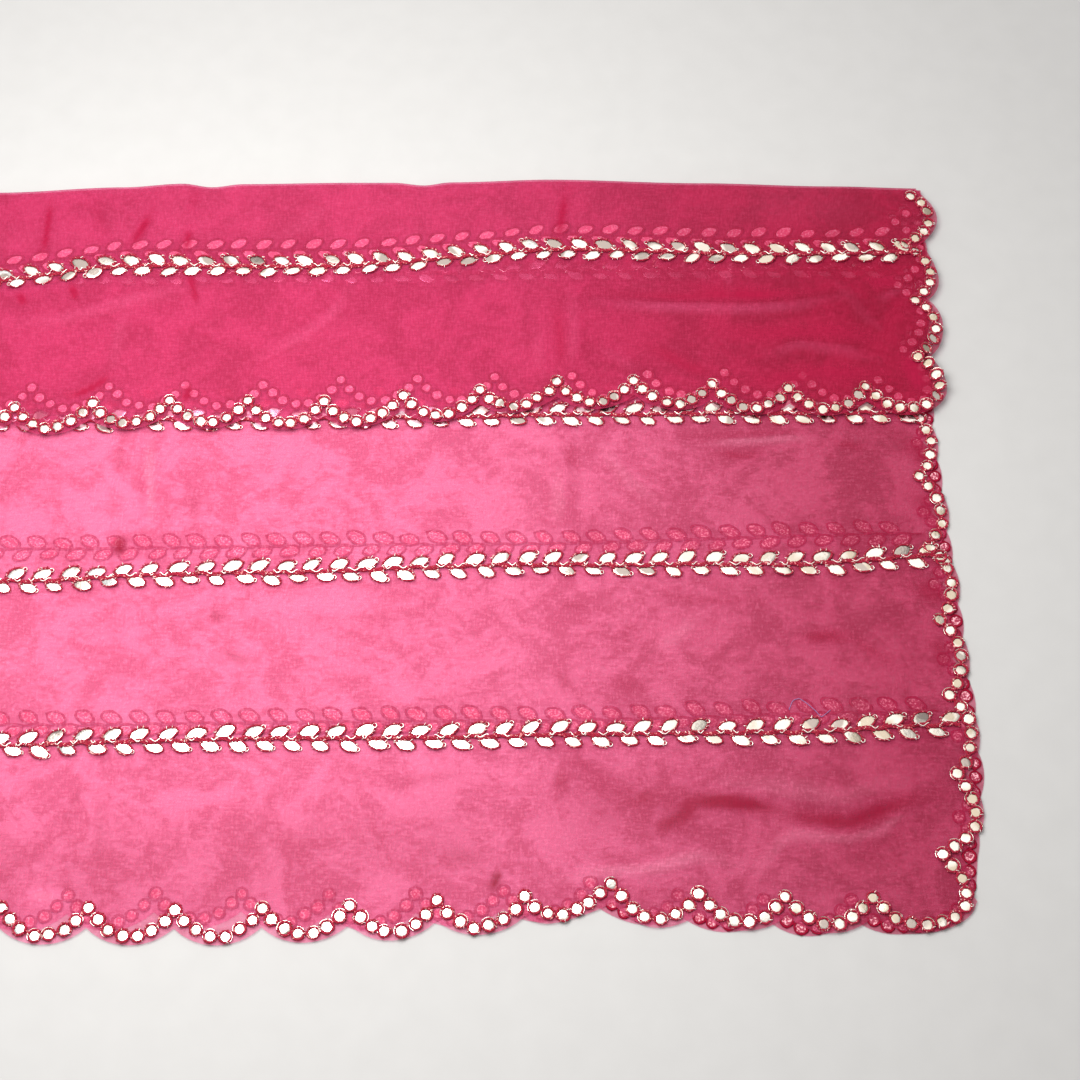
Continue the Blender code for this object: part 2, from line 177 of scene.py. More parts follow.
def lobed_line(stretch, rise, steps, left, top):
    """A lobed line along the hem, round the corner and up the end, and its cusps' indices."""
    spots, cusps = [], []
    cusp_x, cusp_y, pitch = stretch.hem_cusp, stretch.end_cusp, stretch.end_pitch

    def hem_spot(x, u):
        spots.append((x, float(along(stretch.hem, x)) + rise(u)))

    def end_spot(y, u):
        depth = float(along(PEAK_DEPTH, y))
        spots.append((float(along(stretch.end, y)) - rise(u, depth), y))

    gap = LOBE / steps * 0.4
    if left < cusp_x - int((cusp_x - left) / LOBE * steps) * LOBE / steps - gap:
        hem_spot(left, lobe_share(left, cusp_x, LOBE))
    for k in range(int((cusp_x - left) / LOBE * steps), -1, -1):
        if k % steps == 0:
            cusps.append(len(spots))
        u = 2 * ((-k / steps) % 1.0) - 1
        hem_spot(cusp_x - k * LOBE / steps, u)
    half = steps // 2
    for k in range(1, half + 1):
        hem_spot(cusp_x + k / half * LOBE / 2, k / half - 1)
    inset = rise(0.0)
    tip_x = float(along(stretch.end, along(stretch.hem, cusp_x) + CORNER))
    tip_y = float(along(stretch.hem, tip_x - CORNER))
    across = min(CORNER, tip_x - cusp_x - LOBE / 2)
    up = min(CORNER, cusp_y - pitch / 2 - tip_y)
    for k in range(steps + 1):
        turn = math.pi / 2 * k / steps
        x = tip_x - across + (across - inset) * math.sin(turn)
        if x > spots[-1][0] + gap:
            spots.append((x, tip_y + up - (up - inset) * math.cos(turn)))
    for k in range(half, 0, -1):
        if cusp_y - k / half * pitch / 2 > spots[-1][1] + gap:
            end_spot(cusp_y - k / half * pitch / 2, k / half - 1)
    for k in range(int((top - cusp_y - gap) / pitch * steps) + 1):
        if k % steps == 0:
            cusps.append(len(spots))
        end_spot(cusp_y + k * pitch / steps, 2 * ((k / steps) % 1.0) - 1)
    return spots, cusps


print("lobes along the front hem:", len(lobed_line(FRONT, cut_rise, 12, FOLD_X, 0.34)[1]))

# %% [markdown]
# ## Folds and creases
# A length of organza that comes out of its packet keeps soft press lines, and it lifts off the
# table here and there. The wide lifts are straight ridges, and the solids have them too: each row
# is a line from start to end, a height and a half width, in metres. The creases, further down,
# are finer and only in this cloth.

# %% Wide lifts
Lift = namedtuple("Lift", "x0 y0 x1 y1 height half")
WIDE_LIFTS = [
    Lift(*row)
    for row in (
        (0.262, -0.270, 0.268, 0.270, 0.0016, 0.060),
        (-0.100, -0.270, -0.073, 0.270, 0.0016, 0.060),
        (-0.430, -0.270, -0.430, 0.270, 0.0016, 0.060),
        (0.370, -0.240, 0.520, -0.205, 0.0022, 0.075),
        (0.360, -0.070, 0.520, -0.100, 0.0020, 0.070),
        (0.380, 0.215, 0.500, 0.218, 0.0018, 0.065),
        (0.060, 0.215, 0.160, 0.205, 0.0014, 0.060),
        (0.040, -0.100, 0.150, -0.070, 0.0016, 0.070),
        (0.020, -0.265, 0.150, -0.245, 0.0018, 0.070),
        (-0.540, -0.150, -0.530, -0.230, 0.0020, 0.070),
        (-0.300, 0.020, -0.220, -0.060, 0.0020, 0.070),
        (-0.290, -0.270, -0.220, -0.230, 0.0018, 0.070),
        (-0.300, 0.205, -0.190, 0.225, 0.0016, 0.065),
        (-0.550, 0.060, -0.530, 0.200, 0.0016, 0.060),
    )
]
print("wide lifts:", len(WIDE_LIFTS))

# %% [markdown]
# ## The creases of the front
# A crease is a stroke through a few points, uneven in length and spacing. Its height and half
# width and its points are in millimetres, and a trough's height is below zero. The first number
# is its tone, painted light and shade: above zero the cloth is painted deeper in colour, as shade
# in a trough, and below zero paler, as a highlight along a ridge. A stroke with no height is a
# broad patch of painted shade, or of painted light where its tone is below zero.

# %% Creases of the front
FRONT_CREASES_MM = (
    (0.38, 0, 40, (260, -235), (410, -245)),
    (0.14, 0, 40, (450, -275), (570, -265)),
    (0.27, 0, 60, (-450, -290), (200, -290)),
    (0.17, 0, 50, (0, -265), (280, -270)),
    (0.3, 0, 11, (260, -316), (420, -312)),
    (0.11, 0, 40, (-300, 30), (-170, 30)),
    (0.12, 0, 26, (-400, -325), (240, -322)),
    (-0.18, 0, 45, (-250, -120), (-170, -120)),
    (0.5, 0, 7, (-108, 77), (-103, 53)),
    (0.9, -0.2, 9, (-99, -5), (-95, -31)),
    (-0.4, 1, 7, (-79, 83), (-73, -1)),
    (0.42, 0, 5, (-83, 48), (-79, 4)),
    (0.3, 0, 8, (-43, 46), (-34, -5)),
    (0.35, 0, 9, (275, 90), (280, 53), (285, 20)),
    (-0.25, 1, 9, (270, 53), (271, 1)),
    (0.6, -0.2, 5, (403, 71), (427, 67), (447, 71)),
    (0.3, 0, 5, (351, 91), (390, 86), (467, 91), (501, 83)),
    (-0.4, 1, 6, (390, 80), (441, 82), (498, 86)),
    (0.5, -0.2, 5, (503, 82), (533, 74)),
    (-0.2, 0.8, 9, (303, 83), (329, 44), (358, 20)),
    (0.25, 0, 8, (321, 78), (350, 39)),
    (0.6, 0, 12, (565, 87), (588, 53)),
    (0.6, 0, 12, (570, 34), (584, 6)),
    (0.5, -0.2, 8, (-21, -76), (-2, -87)),
    (0.55, -0.2, 7, (-7, -110), (8, -119), (23, -122)),
    (0.2, 0, 8, (16, -85), (81, -84), (196, -81)),
    (0.5, -0.2, 4, (268, -71), (296, -73)),
    (0.35, 0, 6, (348, -58), (384, -68), (434, -68)),
    (0.7, -0.2, 8, (465, -103), (485, -100), (507, -100)),
    (0.4, 0, 7, (507, -100), (522, -114), (544, -124)),
    (-0.25, 0.8, 8, (384, -84), (364, -103), (346, -112)),
    (0.25, 0, 8, (310, -107), (335, -89)),
    (0.5, 0, 9, (266, -131), (279, -147)),
    (0.35, 0, 10, (311, -140), (345, -143)),
    (0.6, 0, 10, (562, -54), (586, -66)),
    (0.5, 0, 8, (575, -99), (580, -131)),
    (0.25, 0, 7, (-119, -268), (-113, -241), (-105, -228), (-94, -234)),
    (0.2, 0, 6, (-93, -218), (-88, -287)),
    (0.3, 0, 7, (126, -224), (166, -221), (201, -214)),
    (0.3, 0, 12, (176, -281), (214, -289)),
    (-0.6, 1, 8, (-142, -314), (-110, -319)),
    (0.4, 0, 8, (266, -214), (273, -233)),
    (0.5, 0, 9, (337, -270), (356, -257), (378, -242)),
    (1, -0.3, 9, (370, -241), (396, -240), (419, -243), (440, -248)),
    (0.75, -0.2, 9, (433, -246), (467, -255), (494, -257), (520, -247), (544, -239), (568, -233)),
    (-0.2, 2.2, 14, (371, -228), (441, -233), (495, -242), (540, -228)),
    (-0.4, 1.4, 8, (422, -297), (443, -273), (455, -268), (493, -272), (521, -265), (538, -249),
     (560, -236)),
    (-0.4, 1.8, 9, (268, -306), (299, -298), (345, -295), (377, -286), (409, -292)),
    (0.35, 0, 8, (288, -285), (330, -286), (349, -280)),
    (0.9, -0.2, 6, (222, -294), (216, -313)),
    (0.3, 0, 8, (269, -199), (300, -214)),
    (0.3, 0, 8, (324, -239), (343, -235)),
    (0.35, 0, 8, (-432, 80), (-436, 20), (-430, -30)),
    (-0.3, 1.1, 9, (-420, 70), (-423, 10), (-418, -130), (-424, -190)),
    (0.4, -0.2, 8, (-434, -80), (-437, -150)),
    (0.7, -0.2, 8, (-560, -100), (-520, -112), (-470, -106)),
    (-0.4, 1.4, 9, (-575, -86), (-520, -96), (-460, -88)),
    (0.5, -0.2, 7, (-340, -104), (-310, -118), (-275, -120)),
    (-0.5, 1.6, 9, (-400, -268), (-350, -280), (-290, -276)),
    (0.6, -0.2, 8, (-396, -256), (-345, -265), (-300, -262)),
    (0.45, 0, 9, (-560, -250), (-520, -270), (-480, -268)),
    (-0.3, 1, 8, (-540, 30), (-500, 50), (-460, 44)),
    (0.3, 0, 10, (-360, 60), (-310, 50), (-270, 58)),
    (0.5, 0, 7, (-300, -210), (-285, -230), (-282, -250)),
    (0.5, -0.2, 6, (-590, -150), (-570, -140), (-560, -120)),
    (0.8, -0.2, 7, (-330, -20), (-328, -50), (-332, -72)),
)
print("creases on the front:", len(FRONT_CREASES_MM))

# %% [markdown]
# ## The creases of the flap
# The flap lies over the thickest part of the stack, so its creases are shorter and sharper.

# %% Creases of the flap
FLAP_CREASES_MM = (
    (0.14, 0, 36, (300, 187), (375, 187)),
    (0.1, 0, 34, (-300, 325), (-120, 325)),
    (-0.25, 0, 30, (430, 325), (550, 325)),
    (0.8, -0.3, 5, (-191, 329), (-191, 298), (-192, 266)),
    (0.9, -0.3, 6, (-99, 315), (-106, 296), (-114, 279)),
    (0.35, 0, 5, (-60, 342), (-62, 312)),
    (1, -0.3, 4, (-63, 298), (-64, 272)),
    (0.8, -0.2, 5, (-60, 253), (-49, 215)),
    (0.3, 0, 7, (-154, 333), (-138, 285)),
    (0.8, -0.2, 6, (-209, 230), (-201, 215)),
    (0.9, -0.2, 5, (-164, 238), (-157, 222)),
    (-0.5, 1, 9, (-221, 194), (-169, 200), (-109, 220), (-44, 236)),
    (0.9, -0.3, 5, (-155, 121), (-134, 132), (-118, 146)),
    (-0.3, 0.8, 8, (-117, 147), (-115, 185), (-108, 221)),
    (1, -0.2, 5, (-54, 117), (-49, 135)),
    (-0.55, 1.2, 8, (11, 163), (50, 185), (72, 206), (86, 234)),
    (-0.2, 0.6, 10, (20, 283), (41, 301), (67, 325)),
    (0.8, -0.3, 6, (277, 340), (273, 312), (269, 282)),
    (0.45, -0.2, 8, (267, 221), (271, 180), (272, 147)),
    (-0.3, 1.2, 9, (284, 232), (286, 190), (282, 147)),
    (-0.25, 0.8, 8, (253, 190), (256, 147)),
    (0.45, -0.2, 7, (306, 229), (377, 224), (448, 225), (514, 232)),
    (-0.7, 1.5, 8, (302, 218), (354, 213), (429, 210), (482, 213), (520, 223)),
    (0.4, 0, 9, (367, 237), (412, 232), (474, 229)),
    (-0.35, 0.5, 6, (421, 255), (422, 223)),
    (0.45, 0, 12, (393, 190), (446, 186), (507, 189), (572, 180)),
    (-0.5, 1.3, 9, (452, 164), (480, 175), (523, 168), (550, 158)),
    (0.5, 0, 12, (422, 137), (496, 147), (565, 147)),
    (-0.25, 0.8, 8, (509, 244), (527, 228), (545, 198), (569, 172)),
    (0.45, -0.2, 9, (347, 175), (383, 153), (411, 142)),
    (-0.3, 0.6, 8, (304, 175), (342, 147)),
    (0.7, 0, 12, (571, 170), (585, 124)),
    (0.5, 0, 10, (539, 242), (577, 240)),
    (-0.35, 1, 7, (552, 219), (583, 238)),
    (0.2, 0, 6, (156, 195), (174, 175)),
    (-0.4, 1.3, 9, (-590, 150), (-520, 172), (-440, 165)),
    (0.6, -0.2, 6, (-480, 330), (-474, 296), (-478, 270)),
    (0.5, -0.2, 8, (-430, 220), (-426, 180), (-432, 140)),
    (-0.3, 1.2, 9, (-414, 230), (-410, 185), (-416, 140)),
    (-0.5, 1.4, 8, (-390, 300), (-320, 310), (-265, 300)),
    (0.4, 0, 9, (-380, 286), (-320, 292), (-260, 284)),
    (0.8, -0.2, 5, (-345, 135), (-330, 118), (-322, 104)),
    (-0.4, 1, 9, (-360, 200), (-300, 188), (-250, 196)),
    (0.5, 0, 8, (-560, 262), (-545, 225), (-540, 205)),
    (-0.3, 0.8, 8, (-580, 310), (-540, 300), (-500, 312)),
)

print("creases on the flap:", len(FLAP_CREASES_MM))

# %% [markdown]
# ## How high the cloth lies
# The height of a stretch is its level, plus its lifts, creases and a slow ripple, at any number of
# places at once. All of it dies away near the folds, where the cloth is held flat. Everything
# that is sewn on later asks the same function where the cloth is.

# %% Lifts and creases
# a crease's tone is painted shade above zero and a painted highlight below zero
Crease = namedtuple("Crease", "tone height half path")
WIDER = 1.25  # a real crease is a little wider than the stroke that marks its middle


def in_metres(rows):
    """Crease rows written in millimetres, as creases in metres with their path as an array."""
    return [
        Crease(tone, height / 1000, half / 1000 * WIDER, np.array(path) / 1000)
        for tone, height, half, *path in rows
    ]


FRONT_CREASES = in_metres(FRONT_CREASES_MM)
FLAP_CREASES = in_metres(FLAP_CREASES_MM)


def eased(share):
    """From 0 to 1 with level ends."""
    share = np.clip(share, 0, 1)
    return share * share * (3 - 2 * share)


def lift_height(x, y):
    """Sum of the wide straight lifts at many places."""
    total = np.zeros_like(x)
    for lift in WIDE_LIFTS:
        run = np.array((lift.x1 - lift.x0, lift.y1 - lift.y0))
        share = ((x - lift.x0) * run[0] + (y - lift.y0) * run[1]) / (run @ run)
        share = np.clip(share, 0, 1)
        away = np.hypot(x - lift.x0 - share * run[0], y - lift.y0 - share * run[1])
        total += lift.height * np.cos(math.pi / 2 * np.clip(away / lift.half, 0, 1)) ** 2
    return total


def crease_strength(crease, x, y):
    """From 1 along a crease to 0 beside it and past its ends."""
    path = crease.path
    steps = np.hypot(*np.diff(path, axis=0).T)
    walked = np.r_[0, np.cumsum(steps)]
    nearest = np.full_like(x, np.inf)
    place = np.zeros_like(x)
    for k, step in enumerate(steps):
        run = (path[k + 1] - path[k]) / step
        share = np.clip((x - path[k, 0]) * run[0] + (y - path[k, 1]) * run[1], 0, step)
        away = np.hypot(x - path[k, 0] - share * run[0], y - path[k, 1] - share * run[1])
        closer = away < nearest
        nearest = np.where(closer, away, nearest)
        place = np.where(closer, walked[k] + share, place)
    from_end = np.minimum(place, walked[-1] - place) / (0.35 * walked[-1])
    taper = 0.25 + 0.75 * eased(from_end)
    return taper * np.cos(math.pi / 2 * np.clip(nearest / crease.half, 0, 1)) ** 2


def crease_sum(creases, kind, x, y):
    """Sum of the creases' heights, in metres, or of their tones."""
    total = np.zeros_like(x)
    for crease in creases:
        low, high = crease.path.min(0) - crease.half, crease.path.max(0) + crease.half
        near = (x > low[0]) & (x < high[0]) & (y > low[1]) & (y < high[1])
        if near.any():
            value = getattr(crease, kind)
            total[near] += value * crease_strength(crease, x[near], y[near])
    return total


ridge = float(lift_height(np.array([0.265]), np.array([0.0]))[0])
print(f"the lift near the middle is {ridge * 1000:.1f} mm high")

# %% [markdown]
# ## Ripples, and each stretch's height
# Between the creases the cloth is never quite flat, which a sum of slow waves gives. The back
# stretch is pressed by the rest and ripples least.

# %% Height of each stretch
def ripple(seed, x, y, height, shortest, longest):
    """Slow waves in many directions, always the same for one seed."""
    rng = random.Random(seed)
    total = np.zeros_like(x)
    for _ in range(16):
        length = rng.uniform(shortest, longest)
        turn = rng.uniform(0, math.pi)
        phase = rng.uniform(0, 2 * math.pi)
        total += np.sin((x * math.cos(turn) + y * math.sin(turn)) * 2 * math.pi / length + phase)
    return height * total / 4


def cloth_z(stretch, x, y):
    """Height of a stretch of cloth above the table at one place or many."""
    x, y = np.asarray(x, float), np.asarray(y, float)
    to_fold = np.minimum(top_edge(x) - y, x - FOLD_X - 0.002)
    z = stretch.z + stretch.loose * lift_height(x, y) * eased(to_fold / 0.060)
    calm = eased(to_fold / 0.030)
    if stretch is BACK:
        return z + 0.0001 * ripple(3, x, y, 1.0, 0.04, 0.12) * calm
    if stretch is FRONT:
        covered = eased((y - along(FLAP_HEM, x) + 0.012) / 0.020)
        own = crease_sum(FRONT_CREASES, "height", x, y) * (1 - covered)
        return z + (own + ripple(5, x, y, 0.00022, 0.030, 0.110)) * calm
    if stretch is UNDER_FLAP:
        return z + ripple(7, x, y, 0.00015, 0.035, 0.110) * calm
    own = crease_sum(FLAP_CREASES, "height", x, y)
    return z + (own + ripple(9, x, y, 0.00022, 0.030, 0.100)) * calm


print(f"front cloth at (0.1, -0.1): {float(cloth_z(FRONT, 0.1, -0.1)) * 1000:.2f} mm up")

# %% [markdown]
# ## Cutting the cloth
# A real layer is 0.1 mm thick, so one skin of triangles is enough. The outline is drawn at twelve
# steps a lobe, the inside is filled with an even grid of points, and one call triangulates the
# two. Where a stretch goes round a fold, its last row of points is carried round in a half
# circle. The heights come last, so cutting and creasing stay apart.

# %% Points inside an outline
def keep_inside(points, outline, clearance):
    """The points that lie within an outline, clear of its sides."""
    a = np.array(outline)
    b = np.roll(a, -1, axis=0)
    run = b - a
    kept = []
    for part in np.array_split(points, max(len(points) // 4000, 1)):
        x, y = part[:, :1], part[:, 1:]
        cross = (a[:, 1] > y) != (b[:, 1] > y)
        slope = run[:, 0] / np.where(run[:, 1] == 0, 1e-9, run[:, 1])
        within = (cross & (x < a[:, 0] + (y - a[:, 1]) * slope)).sum(1) % 2 == 1
        share = ((x - a[:, 0]) * run[:, 0] + (y - a[:, 1]) * run[:, 1]) / (run**2).sum(1)
        share = np.clip(share, 0, 1)
        away = np.hypot(x - a[:, 0] - share * run[:, 0], y - a[:, 1] - share * run[:, 1])
        kept.append(part[within & (away.min(1) > clearance)])
    return np.concatenate(kept)


square = [(0, 0), (1, 0), (1, 1), (0, 1)]
inside = keep_inside(np.array([(0.5, 0.5), (2, 2)]), square, 0.1)
print("of two points, inside a square:", len(inside))

# %% [markdown]
# ## Painted shade, and round the folds
# Each point of a skin carries a tone of painted shade and highlight, from the creases and from how
# the cloth slopes to the light. The organza below reads it as its depth of colour. Where the cloth
# turns over a fold, its edge is carried half round in small steps.

# %% Tones and folds
SLOPE_STEP = 0.003
LIT_X, LIT_Y, SLOPE_TONE = -0.7, 0.5, 1.1  # painted shade by slope: deeper where the cloth slopes away from the light, paler towards it
FRONT_TONE = 1.15
TROUGH_TONE, RIDGE_TONE = 1.6, 0.7  # on the flap, painted shade in troughs is stronger than painted highlight on ridges
FOLD_TONE, FOLD_BAND = 0.10, 0.078  # a paler band along the top fold, and its width
ROUND_STEPS = 8


def paint_crease_and_slope_shade(data, stretch):
    """Keeps a tone of painted light and shade at each point: 0 painted pale on a ridge, 0.5 on
    plain cloth, 1 painted deep in a trough or on a slope away from the light.
    """
    places = np.zeros(len(data.vertices) * 3)
    data.vertices.foreach_get("co", places)
    x, y = places[0::3], places[1::3]
    step = SLOPE_STEP
    fall_x = cloth_z(stretch, x + step, y) - cloth_z(stretch, x - step, y)
    fall_y = cloth_z(stretch, x, y + step) - cloth_z(stretch, x, y - step)
    tone = (LIT_X * fall_x + LIT_Y * fall_y) / (2 * step) * SLOPE_TONE
    if stretch is FRONT:
        tone += FRONT_TONE * crease_sum(FRONT_CREASES, "tone", x, y)
    if stretch is FLAP:
        marks = crease_sum(FLAP_CREASES, "tone", x, y)
        tone += np.where(marks > 0, TROUGH_TONE, RIDGE_TONE) * marks
        from_fold = top_edge(x) - y
        tone -= FOLD_TONE * eased((FOLD_BAND - from_fold) / 0.03)
    data.attributes.new("crease", "FLOAT", "POINT").data.foreach_set(
        "value", np.clip(0.5 + tone / 2, 0, 1)
    )


def carry_round(mesh, row, outward, radius):
    """Carries an edge of the cloth half round a fold, outward and down."""
    first = [v.co.copy() for v in row]
    for step in range(1, ROUND_STEPS + 1):
        turn = math.pi * step / ROUND_STEPS
        shift = outward * radius * math.sin(turn) - Vector((0, 0, radius * (1 - math.cos(turn))))
        new = [mesh.verts.new(place + shift) for place in first]
        for k in range(len(row) - 1):
            mesh.faces.new((row[k], row[k + 1], new[k + 1], new[k]))
        row = new


print("a fold is turned in", ROUND_STEPS, "steps")

# %% [markdown]
# ## The four skins
# The outline is the lobed edge, then the top fold from right to left, then the left side. The
# front and the flap have the finest grid, because their creases show.

# %% Cutting the cloth
EDGE_STEPS = 12
ROW_STEP = 0.866  # rows of points this far apart make even triangles
TOP_RIGHT = 0.598  # where the top fold runs out at the ends


def cut_cloth(name, stretch, mesh_step, left, top_gap, top_bend=0.0, left_bend=0.0):
    """One stretch of cloth as a skin, with half-round strips where it turns over a fold."""
    end_top = float(top_edge(TOP_RIGHT)) - top_gap
    outline, _ = lobed_line(stretch, cut_rise, EDGE_STEPS, left, end_top)
    right = outline[-1][0]
    if end_top > outline[-1][1] + 0.0005:
        right = float(along(stretch.end, end_top)) - cut_rise(
            lobe_share(end_top, stretch.end_cusp, stretch.end_pitch)
        )
    count = int((right - left) / mesh_step)
    top_x = np.linspace(right, left, count)
    top = [(x, float(top_edge(x)) - top_gap) for x in top_x]
    count = int((top[-1][1] - outline[0][1]) / mesh_step)
    side_y = np.linspace(top[-1][1], outline[0][1], count)[1:-1]
    outline += top + [(left, y) for y in side_y]

    low = np.min(outline, axis=0)
    high = np.max(outline, axis=0)
    grid_x, grid_y = np.meshgrid(
        np.arange(low[0], high[0], mesh_step), np.arange(low[1], high[1], mesh_step * ROW_STEP)
    )
    grid_x[::2] += mesh_step / 2
    grid = keep_inside(np.stack([grid_x.ravel(), grid_y.ravel()], 1), outline, mesh_step * 0.55)
    flat = [Vector(p) for p in outline] + [Vector(p) for p in grid]
    corners, _, faces, *_ = delaunay_2d_cdt(flat, [], [list(range(len(outline)))], 1, 1e-7)

    xy = np.array([tuple(c) for c in corners])
    z = cloth_z(stretch, xy[:, 0], xy[:, 1])
    mesh = bmesh.new()
    verts = [mesh.verts.new((x, y, h)) for (x, y), h in zip(xy, z)]
    for face in faces:
        mesh.faces.new([verts[k] for k in face])
    for radius, edge, outward in (
        (top_bend, top, Vector((0, 1, 0))),
        (left_bend, [top[-1], *((left, y) for y in side_y), outline[0]], Vector((-1, 0, 0))),
    ):
        if radius:
            row = [verts[int(np.argmin(np.hypot(*(xy - p).T)))] for p in edge]
            carry_round(mesh, row, outward, radius)
    bmesh.ops.recalc_face_normals(mesh, faces=mesh.faces)
    if sum(f.normal.z for f in mesh.faces) < 0:
        bmesh.ops.reverse_faces(mesh, faces=mesh.faces)
    data = bpy.data.meshes.new(name)
    mesh.to_mesh(data)
    mesh.free()
    data.shade_smooth()
    paint_crease_and_slope_shade(data, stretch)
    piece = bpy.data.objects.new(name, data)
    bpy.context.scene.collection.objects.link(piece)
    area = sum(p.area for p in data.polygons)
    print(f"{name}: {len(data.polygons)} triangles, {area:.3f} square metres")
    return piece


back_cloth = cut_cloth(
    "back_cloth", BACK, mesh_step=0.009, left=FOLD_X + 0.002, top_gap=0.0005
)
front_cloth = cut_cloth(
    "front_cloth", FRONT, mesh_step=0.0045, left=FOLD_X + 0.001, top_gap=0.0005,
    left_bend=(FRONT.z - BACK.z) / 2,
)
under_flap_cloth = cut_cloth(
    "under_flap_cloth", UNDER_FLAP, mesh_step=0.008, left=FOLD_X + 0.002, top_gap=0.0,
    top_bend=(UNDER_FLAP.z - FRONT.z) / 2,
)
flap_cloth = cut_cloth(
    "flap_cloth", FLAP, mesh_step=0.0042, left=FOLD_X + 0.001, top_gap=0.0,
    top_bend=(FLAP.z - BACK.z) / 2, left_bend=(FLAP.z - UNDER_FLAP.z) / 2,
)

# %% [markdown]
# ## Colours and a helper for materials
# Colours are written as sRGB hex values, as a maker would read them off a swatch, and one
# function turns them into the linear numbers that Blender computes with. One more function adds
# a node, sets it and wires it up, so each material below reads as a list of layers.

# %% Colour and node helpers
def linear(swatch, alpha=1.0):
    """An sRGB hex value as linear RGBA."""
    parts = [int(swatch[k : k + 2], 16) / 255 for k in (1, 3, 5)]
    return (*(p / 12.92 if p <= 0.04045 else ((p + 0.055) / 1.055) ** 2.4 for p in parts), alpha)


def add(tree, kind, settings=None, **links):
    """Adds a node. Links and values are named for its sockets, with _ for a blank."""
    node = tree.nodes.new("ShaderNode" + kind)
    for key, value in (settings or {}).items():
        setattr(node, key, value)
    for key, value in links.items():
        by_number = key[1:].isdigit()
        socket = node.inputs[int(key[1:]) if by_number else key.replace("_", " ")]
        if isinstance(value, bpy.types.NodeSocket):
            tree.links.new(value, socket)
        else:
            socket.default_value = value
    return node


def blend(tree, share, first, second):
    """A mix of two colours, each given as a hex value or as a socket."""
    first, second = (linear(c) if isinstance(c, str) else c for c in (first, second))
    return add(
        tree, "Mix", {"data_type": "RGBA"}, Factor=share, _6=first, _7=second
    ).outputs[2]


def remap(tree, value, low, high, to_low=0.0, to_high=1.0, **settings):
    """A value carried from one range to another and kept within it."""
    return add(
        tree, "MapRange", settings,
        Value=value, From_Min=low, From_Max=high, To_Min=to_low, To_Max=to_high,
    ).outputs[0]


def noise(tree, place, scale, detail=2.0, settings=None, **values):
    """A soft random pattern; a higher scale makes it finer."""
    values.update(Vector=place, Scale=scale, Detail=detail)
    return add(tree, "TexNoise", settings, **values).outputs[0]


def arithmetic(tree, operation, *values, clamp=False):
    """One sum on values or sockets."""
    inputs = {f"_{k}": v for k, v in enumerate(values)}
    return add(tree, "Math", {"operation": operation, "use_clamp": clamp}, **inputs).outputs[0]


def new_material(name):
    """An empty node material, with the place on the object in metres."""
    material = bpy.data.materials.new(name)
    material.use_nodes = True
    material.node_tree.nodes.clear()
    return material, material.node_tree, add(material.node_tree, "TexCoord").outputs["Object"]


def finished(material, shader):
    """Wires a shader to the material's output and hands the material back."""
    out = add(material.node_tree, "OutputMaterial")
    material.node_tree.links.new(shader.outputs[0], out.inputs[0])
    return material


print("pink of the cloth in linear numbers:", [round(c, 3) for c in linear("#E33A72")])

# %% [markdown]
# ## Organza
# Organza is a plain weave of hard-twisted, very fine yarn with open gaps, so most of what it does
# to the eye is to let light through. Two layers look deeper than one, four deeper still, and work
# on the far side shows as a ghost. That is built as a mix: part see-through, tinted by the dye,
# and part a pink yarn with a slight sheen. How much the yarn covers wanders in soft clouds,
# because the weave is never quite even. Real yarns are 0.15 mm apart, too fine for the picture,
# so slubs are drawn instead, 1.8 mm wide and about 6 mm long. The skin's tone is painted shade and
# highlight: the cloth is painted denser and deeper in a crease's trough and on slopes away from
# the light, and paler on a ridge. The colours are painted paler at the fold and deeper at the
# ends, a painted fall of the light along the cloth, so each cloth has two pairs of colours. The
# flap gets a deeper mix of the same dye as painted shade: it never lies on the pale table, whose
# light would come back through it.

# %% Organza
DyeAsLit = namedtuple("DyeAsLit", "yarn shade")
FLAT = {"noise_dimensions": "2D"}  # the cloth lies flat, and a flat pattern renders faster
MOTTLE = (0.63, 0.87)  # the usual lowest and highest value of the mottling
TROUGH_SHADE_COVER = 0.34  # how much more the cloth covers in a trough, as painted shade


def toward_end(tree, place):
    """How near the loose ends a point lies: 0 towards the fold, 1 at the ends."""
    x = add(tree, "SeparateXYZ", Vector=place).outputs[0]
    return remap(tree, x, 0.10, 0.57, interpolation_type="SMOOTHSTEP")


def slubs(tree, place, scale, **values):
    """Thicker and thinner stretches of yarn, drawn out along one way of the weave."""
    drawn_out = add(tree, "Mapping", Vector=place, Scale=scale, **values)
    return noise(tree, drawn_out.outputs[0], 1.0, 2.0, FLAT)


